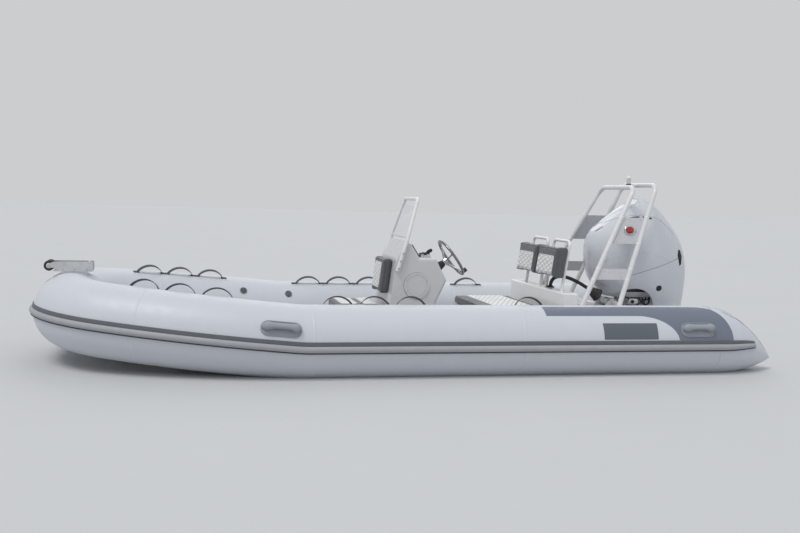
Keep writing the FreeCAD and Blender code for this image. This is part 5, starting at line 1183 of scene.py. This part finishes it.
def arch_fittings():
    """Weld collars and bolts of the hoops, and the three lights."""
    collars, bolts = Shape(), Shape()
    for side in (1, -1):
        for hoop in (0, 1):
            for up in ARCH_PLATES[0] + ARCH_PLATES[1]:
                here, above = arch_point(hoop, up - 0.006, side), arch_point(hoop, up + 0.006, side)
                collars.turned(here, above - here, [(0.0188, 0), (0.0204, 0.003), (0.0208, 0.006),
                                                    (0.0204, 0.009), (0.0188, 0.012)], 28)
            foot = arch_point(hoop, HOOP_FOOT, side) + Z_AXIS * 0.0002
            turns = [math.radians(45 + 90 * k) for k in range(4)]
            places = [foot + Vector((math.cos(a), math.sin(a), 0)) * 0.0235 for a in turns]
            screw_heads(bolts, places, Z_AXIS, 0.0042, 0.003)
        for low, high in ARCH_PLATES:
            for up in (low + 0.016, high - 0.016):
                for share in (0.2, 0.8):
                    place, lean = plate_point(up, share, side, 0.0026)
                    screw_heads(bolts, [place], lean, 0.004, 0.0022)
    dressed(collars.piece("arch_collars"), "coat", sharp=60)
    dressed(bolts.piece("arch_bolts"), "steel")
    for (name, side), tint in zip(SIDES, ("red", "green")):
        nav_light(name, side, tint)
    foot = [(0.0228, 0), (0.0228, 0.008), (0.0205, 0.0115), (0.0190, 0.019)]
    base = Shape().turned(MAST_SEAT, Z_AXIS, foot, 40)
    dressed(base.piece("mast_base"), "black")
    rings = [(0.0168 - 0.0012 * (k % 2), 0.019 + 0.003 * k) for k in range(15)]
    globe = Shape().turned(MAST_SEAT, Z_AXIS, rings, 40)
    globe = dressed(globe.piece("mast_lens"), "clear", sharp=60)
    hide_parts("masthead_light")
    turns = [math.radians(a) for a in range(0, 88, 10)]
    dome = [(0.0176, 0.061), (0.0178, 0.066)]
    dome += [(0.0176 * math.cos(a), 0.067 + 0.0155 * math.sin(a)) for a in turns]
    cap = Shape().turned(MAST_SEAT, Z_AXIS, dome, 40)
    dressed(cap.piece("mast_cap"), "coat", sharp=60)


def nav_light(name, side, tint):
    """A side light on its plate: a bright ring with an ear, and a domed lens."""
    place, lean = plate_point(NAV_HEIGHT, 0.5, side, 0.0027)
    upright = lean.cross(X_AXIS).normalized() * side
    bezel = Shape().stacked(place, X_AXIS, upright, lean, [
        (lift, half_long, half_high, half_high * 0.92)
        for lift, half_long, half_high in ((0, 0.043, 0.033), (0.006, 0.043, 0.033), (0.010, 0.039, 0.029),
                                           (0.011, 0.033, 0.0245), (0.006, 0.030, 0.0215))], 10)
    ear = rounded_box_outline(place - X_AXIS * 0.048, X_AXIS, upright, 0.010, 0.007, 0.004)
    bezel.plate(ear, lean * 0.009, 0.002)
    levels = []
    for step in range(9):
        turn = math.radians(10.5 * step)
        shrink = math.cos(turn) ** 0.6
        levels.append((0.005 + 0.017 * math.sin(turn), 0.030 * shrink, 0.0215 * shrink, 0.010 * shrink))
    dome = Shape().stacked(place, X_AXIS, upright, lean, levels, 8, caps=True)
    dressed(bezel.piece("nav_ring_" + name), "steel")
    glass = dressed(dome.piece("nav_lens_" + name), tint, sharp=60)
    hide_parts("nav_light_" + name)


# Outboard: what lies on the cowl's flanks, the works in the cut-out, boot and hose.

CAP_SEAM = ((-1.640, 0.884), (-2.040, 1.112), (-2.352, 0.958))
AIR_SLOTS = ((-2.112, -2.032), (-2.000, -1.880))
# The line between the cowl's halves: distance and height of a point on it, and its slope.
SPLIT_X, SPLIT_UP, SPLIT_SLOPE, SPLIT_START, SPLIT_LONG = -1.662, 0.567, 0.284, -1.745, 0.70
# Places and directions on the flanks as (distance, port side, height), and outlines.
PORT_PLACE, PORT_WAY = (-2.180, 0.258, 0.538), (-0.22, 0.97, -0.10)
VENT_PLACE, VENT_WAY = (-2.405, 0.146, 0.776), (-0.52, 0.84, 0.12)
VENT_CORNERS = ((0.034, 0.020), (0.012, 0.074), (-0.018, 0.066), (-0.034, 0.012), (-0.022, -0.060),
                (0.010, -0.074))
PLUG_PLACE, PLUG_WAY = (-2.234, 0.6, 0.559), (-0.32, 0.94, -0.09)
FLANK_OUT = 0.6


def sided(place, side):
    """The place on the given side of a place or direction that is written for the port side."""
    return Vector((place[0], place[1] * side, place[2]))


def arc_height(points, x):
    """Height at x of the circle through three (distance, height) points, on its upper side."""
    (ax, ay), (bx, by), (cx, cy) = points
    a, b, c = ax * ax + ay * ay, bx * bx + by * by, cx * cx + cy * cy
    twice = 2 * (ax * (by - cy) + bx * (cy - ay) + cx * (ay - by))
    ux = (a * (by - cy) + b * (cy - ay) + c * (ay - by)) / twice
    uy = (a * (cx - bx) + b * (ax - cx) + c * (bx - ax)) / twice
    radius = math.hypot(ax - ux, ay - uy)
    return uy + math.sqrt(max(0, radius * radius - (x - ux) ** 2))


def flank_sheet(shape, tree, arc, x_low, x_high, drop, high, lift, side, columns, lines=2):
    """A sheet on the cowl's flank along an arc of the side view, drawn if it lies wholly on the cowl."""
    rows, out = [], Y_AXIS * side
    for line in range(lines + 1):
        row = []
        for column in range(columns + 1):
            x = x_low + (x_high - x_low) * column / columns
            start = Vector((x, side * FLANK_OUT, arc_height(arc, x) - drop - high * line / lines))
            hit = tree.ray_cast(start, -out)[0]
            if hit is None:
                return
            row.append(hit + out * lift)
        rows.append(row)
    shape.rows(rows)


def flank_disc(shape, tree, centre, normal, outline, lift, rings=4):
    """A patch on the cowl's flank: an outline of (along, up) pairs, cast onto it with rings inside."""
    normal = normal.normalized()
    along = normal.cross(Z_AXIS).normalized()
    up = along.cross(normal).normalized()
    rows = []
    for ring in range(rings + 1):
        scale = 1 - 0.999 * ring / rings
        row = []
        for reach, rise in outline:
            hit = tree.ray_cast(centre + normal * 0.2 + (along * reach + up * rise) * scale, -normal)[0]
            if hit is None:
                return
            row.append(hit + normal * (lift if ring else lift - 0.003))
        rows.append(row)
    shape.rows(rows, closed=True)


def oval(half_long, half_high, power=2.4, steps=40):
    points = []
    for step in range(steps):
        angle = 2 * math.pi * step / steps
        across, rise = math.cos(angle), math.sin(angle)
        points.append((half_long * math.copysign(abs(across) ** (2 / power), across),
                       half_high * math.copysign(abs(rise) ** (2 / power), rise)))
    return points


def cowl_fittings():
    """A line of painted shadow in the gap between the cowl's halves, and each flank's air slots, vent and port
    as sheets of painted shade, with the port's rim and the plug.
    """
    hood, whole = skin_of(NODES["cowl_upper"]), Shape()
    for node in ("cowl_upper", "cowl_lower"):
        mesh, start = NODES[node].data, len(whole.points)
        whole.points.extend(v.co.copy() for v in mesh.vertices)
        whole.faces.extend(tuple(start + index for index in face.vertices) for face in mesh.polygons)
    both = BVHTree.FromPolygons(whole.points, whole.faces)
    painted_shade, dark, rims, plugs = Shape(), Shape(), Shape(), Shape()
    vent = []
    for (first, low), (second, high) in zip(VENT_CORNERS, VENT_CORNERS[1:] + VENT_CORNERS[:1]):
        vent += [(first + (second - first) * k / 6, low + (high - low) * k / 6) for k in range(6)]
    for side in (1, -1):
        out = Y_AXIS * side
        # A strip of painted shadow along the gap between the cowl's halves.
        rows = []
        for drop in (-0.0012, 0.0016):
            row = []
            for k in range(61):
                x = SPLIT_START - SPLIT_LONG * k / 60
                place = Vector((x, side * FLANK_OUT, SPLIT_UP + SPLIT_SLOPE * (SPLIT_X - x) - drop))
                hit = both.ray_cast(place, -out)[0] or both.find_nearest(place - out * FLANK_OUT / 2)[0]
                row.append(hit + out * 0.0007)
            rows.append(row)
        painted_shade.rows(rows)
        # Near-black sheets of painted shade in the air slots, the port and the vent, where their hollows lie.
        for aft, fore in AIR_SLOTS:
            flank_sheet(dark, hood, CAP_SEAM, aft, fore, 0.0118, 0.0085, 0.0064, side, 16)
        port, port_way = sided(PORT_PLACE, side), sided(PORT_WAY, side)
        flank_disc(dark, both, port, port_way, oval(0.034, 0.028), 0.0012)
        flank_disc(rims, both, port, port_way, oval(0.038, 0.032), 0.0006)
        flank_disc(dark, both, sided(VENT_PLACE, side), sided(VENT_WAY, side), vent, 0.0012, 6)
        surface, outward = both.ray_cast(sided(PLUG_PLACE, side), -out)[0], sided(PLUG_WAY, side).normalized()
        plugs.turned(surface - Z_AXIS * 0.022 - outward * 0.004, outward,
                     [(0.0148, -0.003), (0.0148, 0.0036), (0.0138, 0.0046), (0.006, 0.0052)], 32)
    dressed(plugs.piece("cowl_plugs"), "engine", body="outboard")
    dressed(painted_shade.piece("cowl_split_shadows"), "shadow_line", body="outboard", sharp=60)
    dressed(dark.piece("cowl_vent_shades"), "void", body="outboard", sharp=60)
    dressed(rims.piece("cowl_port_rims"), "leg", body="outboard", sharp=60)


MOUNT_COVER, MOUNT_HALF_LONG, MOUNT_HALF_HIGH = Vector((-2.014, 0, 0.424)), 0.044, 0.027
MOUNT_PLUG = (-2.004, 0.161, 0.421)
# Hoses under the hood: radius and points as (distance, port side, height).
WORKS_HOSES = (
    (0.0065, ((-2.062, 0.150, 0.456), (-2.070, 0.168, 0.430), (-2.092, 0.176, 0.404), (-2.122, 0.172, 0.398),
              (-2.146, 0.160, 0.414), (-2.156, 0.146, 0.440), (-2.158, 0.140, 0.456))),
    (0.0050, ((-2.112, 0.168, 0.456), (-2.106, 0.178, 0.438), (-2.086, 0.178, 0.424), (-2.066, 0.168, 0.412),
              (-2.050, 0.150, 0.392), (-2.046, 0.128, 0.366), (-2.050, 0.104, 0.344))),
    (0.0045, ((-1.974, 0.158, 0.438), (-1.960, 0.172, 0.452), (-1.944, 0.166, 0.458), (-1.928, 0.150, 0.456),
              (-1.916, 0.132, 0.446), (-1.910, 0.112, 0.456))),
    (0.0035, ((-2.070, 0.180, 0.456), (-2.082, 0.188, 0.444), (-2.104, 0.190, 0.438), (-2.128, 0.184, 0.446),
              (-2.138, 0.176, 0.456))),
    (0.0060, ((-2.094, 0.140, 0.456), (-2.098, 0.148, 0.432), (-2.112, 0.150, 0.410), (-2.126, 0.140, 0.386),
              (-2.128, 0.122, 0.362), (-2.120, 0.104, 0.344))),
    (0.0028, ((-1.990, 0.164, 0.456), (-2.004, 0.176, 0.450), (-2.024, 0.176, 0.456), (-2.040, 0.172, 0.448),
              (-2.052, 0.172, 0.456))),
)


def smooth_line(points, parts=6):
    """A rounded line through points, by Catmull-Rom segments."""
    padded = [points[0]] + list(points) + [points[-1]]
    line = []
    for a, b, c, d in zip(padded, padded[1:], padded[2:], padded[3:]):
        for part in range(parts):
            t = part / parts
            line.append(0.5 * (2 * b + (c - a) * t + (2 * a - 5 * b + 4 * c - d) * t ** 2
                               + (3 * b - a - 3 * c + d) * t ** 3))
    return line + [points[-1]]


def engine_works():
    """What shows in the cut-out under the hood: a bright mount cover with a plug, and looped hoses."""
    cover, plug, pipes = Shape(), Shape(), Shape()
    for side in (1, -1):
        out = Y_AXIS * side
        levels = [(lift, MOUNT_HALF_LONG + grow, MOUNT_HALF_HIGH + grow, 0.012)
                  for lift, grow in ((0.104, 0.0), (0.150, 0.0), (0.160, -0.006), (0.162, -0.014))]
        cover.stacked(MOUNT_COVER, X_AXIS, Z_AXIS, out, levels, caps=True)
        screw_heads(cover, [Vector((x, side * 0.1585, 0.442)) for x in (-2.046, -1.984)], out, 0.004, 0.003)
        plug.turned(sided(MOUNT_PLUG, side), out,
                    [(0.015, 0), (0.015, 0.004), (0.011, 0.0055), (0.010, 0.002)], 24)
        for radius, points in WORKS_HOSES:
            pipes.tube(smooth_line([sided(point, side) for point in points]), radius, 8)
    dressed(cover.piece("mount_covers"), "aluminium", body="outboard")
    dressed(plug.piece("mount_plugs"), "black", body="outboard")
    dressed(pipes.piece("engine_hoses"), "hose", body="outboard", sharp=70)


BOOT_LEAN = math.radians(32)
BOOT_ROOT = Vector((-1.712, 0.100, 0.478))
BOOT_AXIS = Vector((math.cos(BOOT_LEAN), 0, math.sin(BOOT_LEAN)))
BOOT_FOLDS, BOOT_FOLD, BOOT_MOUTH = 6, 0.0042, 0.0753
HOSE_RADIUS, HOSE_TOP, HOSE_EXIT = 0.015, 0.612, Vector((-1.330, 0.100, 0.527))
HOSE_STEP, HOSE_CUT = 0.0022, 0.55


def rigging():
    """The rubber boot with its folds, and the clip at its mouth."""
    profile = []
    for k in range(37):
        fold = BOOT_FOLD * (abs(math.sin(math.pi * BOOT_FOLDS * k / 36)) - 1)
        profile.append((0.0555 - 0.0315 * k / 36 + fold, -0.0295 + 0.104 * k / 36))
    boot = Shape().turned(BOOT_ROOT, BOOT_AXIS, profile, 40)
    boot = dressed(boot.piece("boot"), "hose", body="outboard", sharp=80)
    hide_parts("rigging_boot")
    clip = Shape().turned(BOOT_ROOT + BOOT_AXIS * 0.0685, BOOT_AXIS,
                          [(0.0238, 0), (0.0252, 0.0008), (0.0252, 0.0052), (0.0238, 0.006)], 36)
    dressed(clip.piece("boot_clip"), "steel", body="outboard")


def hose_line():
    """The hose's middle line, a smooth curve over its route: up from the locker, aft and down to the boot."""
    mouth = BOOT_ROOT + BOOT_AXIS * BOOT_MOUTH
    knee = mouth + BOOT_AXIS * ((HOSE_TOP - mouth.z) / BOOT_AXIS.z)
    route = [HOSE_EXIT, Vector((HOSE_EXIT.x, HOSE_EXIT.y, HOSE_TOP)), knee, mouth]
    data = bpy.data.curves.new("hose_route", "CURVE")
    data.dimensions = "3D"
    data.resolution_u = 24
    spline = data.splines.new("NURBS")
    spline.points.add(len(route) - 1)
    for point, place in zip(spline.points, route):
        point.co = (*place, 1)
    spline.order_u = 3
    spline.use_endpoint_u = True
    curve = linked(bpy.data.objects.new("hose_route", data))
    mesh = bpy.data.meshes.new_from_object(curve)
    line = [vertex.co.copy() for vertex in mesh.vertices]
    bpy.data.objects.remove(curve)
    return line


def spaced(line, gap):
    """Points at even gaps along a line."""
    found, carry = [line[0]], 0.0
    for start, end in zip(line, line[1:]):
        length = (end - start).length
        run = gap - carry
        while run <= length:
            found.append(start.lerp(end, run / length))
            run += gap
        carry = length - (run - gap)
    return found


def hoses():
    """A corrugated hose in two lengths that meet at a cut, and the gland where it leaves the locker."""
    line = spaced(hose_line(), HOSE_STEP)
    cut = int(len(line) * HOSE_CUT)
    parts = (("hose_fore", line[:cut + 2], "boat", "swivel"), ("hose_aft", line[cut:], "swivel", "outboard"))
    for name, points, first, second in parts:
        radii = [HOSE_RADIUS - 0.0012 - 0.0008 * math.cos(math.pi * k / 2) for k in range(len(points))]
        hose = Shape().tube(points, radii, 20).piece(name)
        hose.data.materials.append(FINISHES["hose"])
        hose.data.shade_smooth()
        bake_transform(hose)
        if name == "hose_fore":
            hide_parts("rigging_hose")
    base = Shape().turned(HOSE_EXIT + Z_AXIS * 0.0002, Z_AXIS,
                          [(0.034, 0), (0.034, 0.004), (0.026, 0.007), (0.0185, 0.014), (0.0158, 0.015)], 36)
    dressed(base.piece("hose_gland"), "black")


# Camera, light and floor.

CAMERA_PLACE = Vector((1.5359, 7.4028, 1.2207))
CAMERA_YAW, CAMERA_PITCH, CAMERA_ROLL = 0.2223, 0.0727, 0.0279
FOCAL_PIXELS, IMAGE_WIDE, SENSOR = 990, 800, 36
FLOOR_HALF, SKY_POWER = 60, 0.62


def photo_camera():
    flat = Vector((-math.sin(CAMERA_YAW), -math.cos(CAMERA_YAW), 0))
    forward = flat * math.cos(CAMERA_PITCH) - Z_AXIS * math.sin(CAMERA_PITCH)
    level = forward.cross(Z_AXIS).normalized()
    upright = level.cross(forward)
    right = level * math.cos(CAMERA_ROLL) + upright * math.sin(CAMERA_ROLL)
    up = upright * math.cos(CAMERA_ROLL) - level * math.sin(CAMERA_ROLL)
    place = Matrix((right, up, -forward)).transposed().to_4x4()
    place.translation = CAMERA_PLACE
    data = bpy.data.cameras.new("photo_view")
    data.sensor_width = SENSOR
    data.lens = FOCAL_PIXELS * SENSOR / IMAGE_WIDE
    data.clip_end = 300
    camera = linked(bpy.data.objects.new("photo_view", data))
    camera.matrix_world = place
    bpy.context.scene.camera = camera


def sun(name, toward, power, spread, tint):
    """A distant lamp, so the floor is lit evenly."""
    data = bpy.data.lights.new(name, "SUN")
    data.energy = power
    data.angle = math.radians(spread)
    data.color = tint
    lamp = linked(bpy.data.objects.new(name, data))
    lamp.rotation_euler = Vector(toward).to_track_quat("-Z", "Y").to_euler()


def studio():
    world = bpy.data.worlds.new("plain_sky")
    bpy.context.scene.world = world
    world.use_nodes = True
    tree = world.node_tree
    backdrop = tree.nodes["Background"]
    backdrop.inputs["Color"].default_value = (0.93, 0.96, 1.0, 1)
    backdrop.inputs["Strength"].default_value = SKY_POWER
    seen = tree.nodes.new("ShaderNodeBackground")
    seen.inputs["Color"].default_value = (0.60, 0.61, 0.62, 1)
    seen.inputs["Strength"].default_value = 1
    path = tree.nodes.new("ShaderNodeLightPath")
    either = tree.nodes.new("ShaderNodeMath")
    either.operation = "MAXIMUM"
    tree.links.new(path.outputs["Is Camera Ray"], either.inputs[0])
    tree.links.new(path.outputs["Is Transmission Ray"], either.inputs[1])
    mix = tree.nodes.new("ShaderNodeMixShader")
    tree.links.new(either.outputs["Value"], mix.inputs["Fac"])
    tree.links.new(backdrop.outputs["Background"], mix.inputs[1])
    tree.links.new(seen.outputs["Background"], mix.inputs[2])
    tree.links.new(mix.outputs["Shader"], tree.nodes["World Output"].inputs["Surface"])
    sun("key", (-0.45, -0.34, -1.0), 1.4, 24, (1.0, 0.985, 0.96))
    sun("fill", (0.7, -0.7, -0.35), 0.12, 40, (0.95, 0.97, 1.0))
    sun("back", (0.2, 1.0, -0.7), 0.30, 40, (0.97, 0.98, 1.0))
    reach = (-FLOOR_HALF, FLOOR_HALF)
    floor = Shape().rows([[Vector((x, y, 0)) for x in reach] for y in reach]).piece("floor")
    surface = Finish("floor_pale")
    surface.base(surface.blend(surface.noise(0.6, 4), (0.57, 0.58, 0.59), (0.55, 0.56, 0.57)))
    surface.rough(0.7, 0.85, surface.noise(3, 4))
    floor.data.materials.append(surface.done())
    bpy.context.scene.view_settings.view_transform = "Standard"


dress_nodes()
tube_tapes()
carrying_handles()
webbing_loops()
loop_feet()
stern_panels()
valve_details()
rub_strakes()
dress_pads()
dash_fittings()
console_fittings()
screen_trim()
wheel_fittings()
throttle_fittings()
bow_fittings()
arch_fittings()
cowl_fittings()
engine_works()
rigging()
hoses()
photo_camera()
studio()
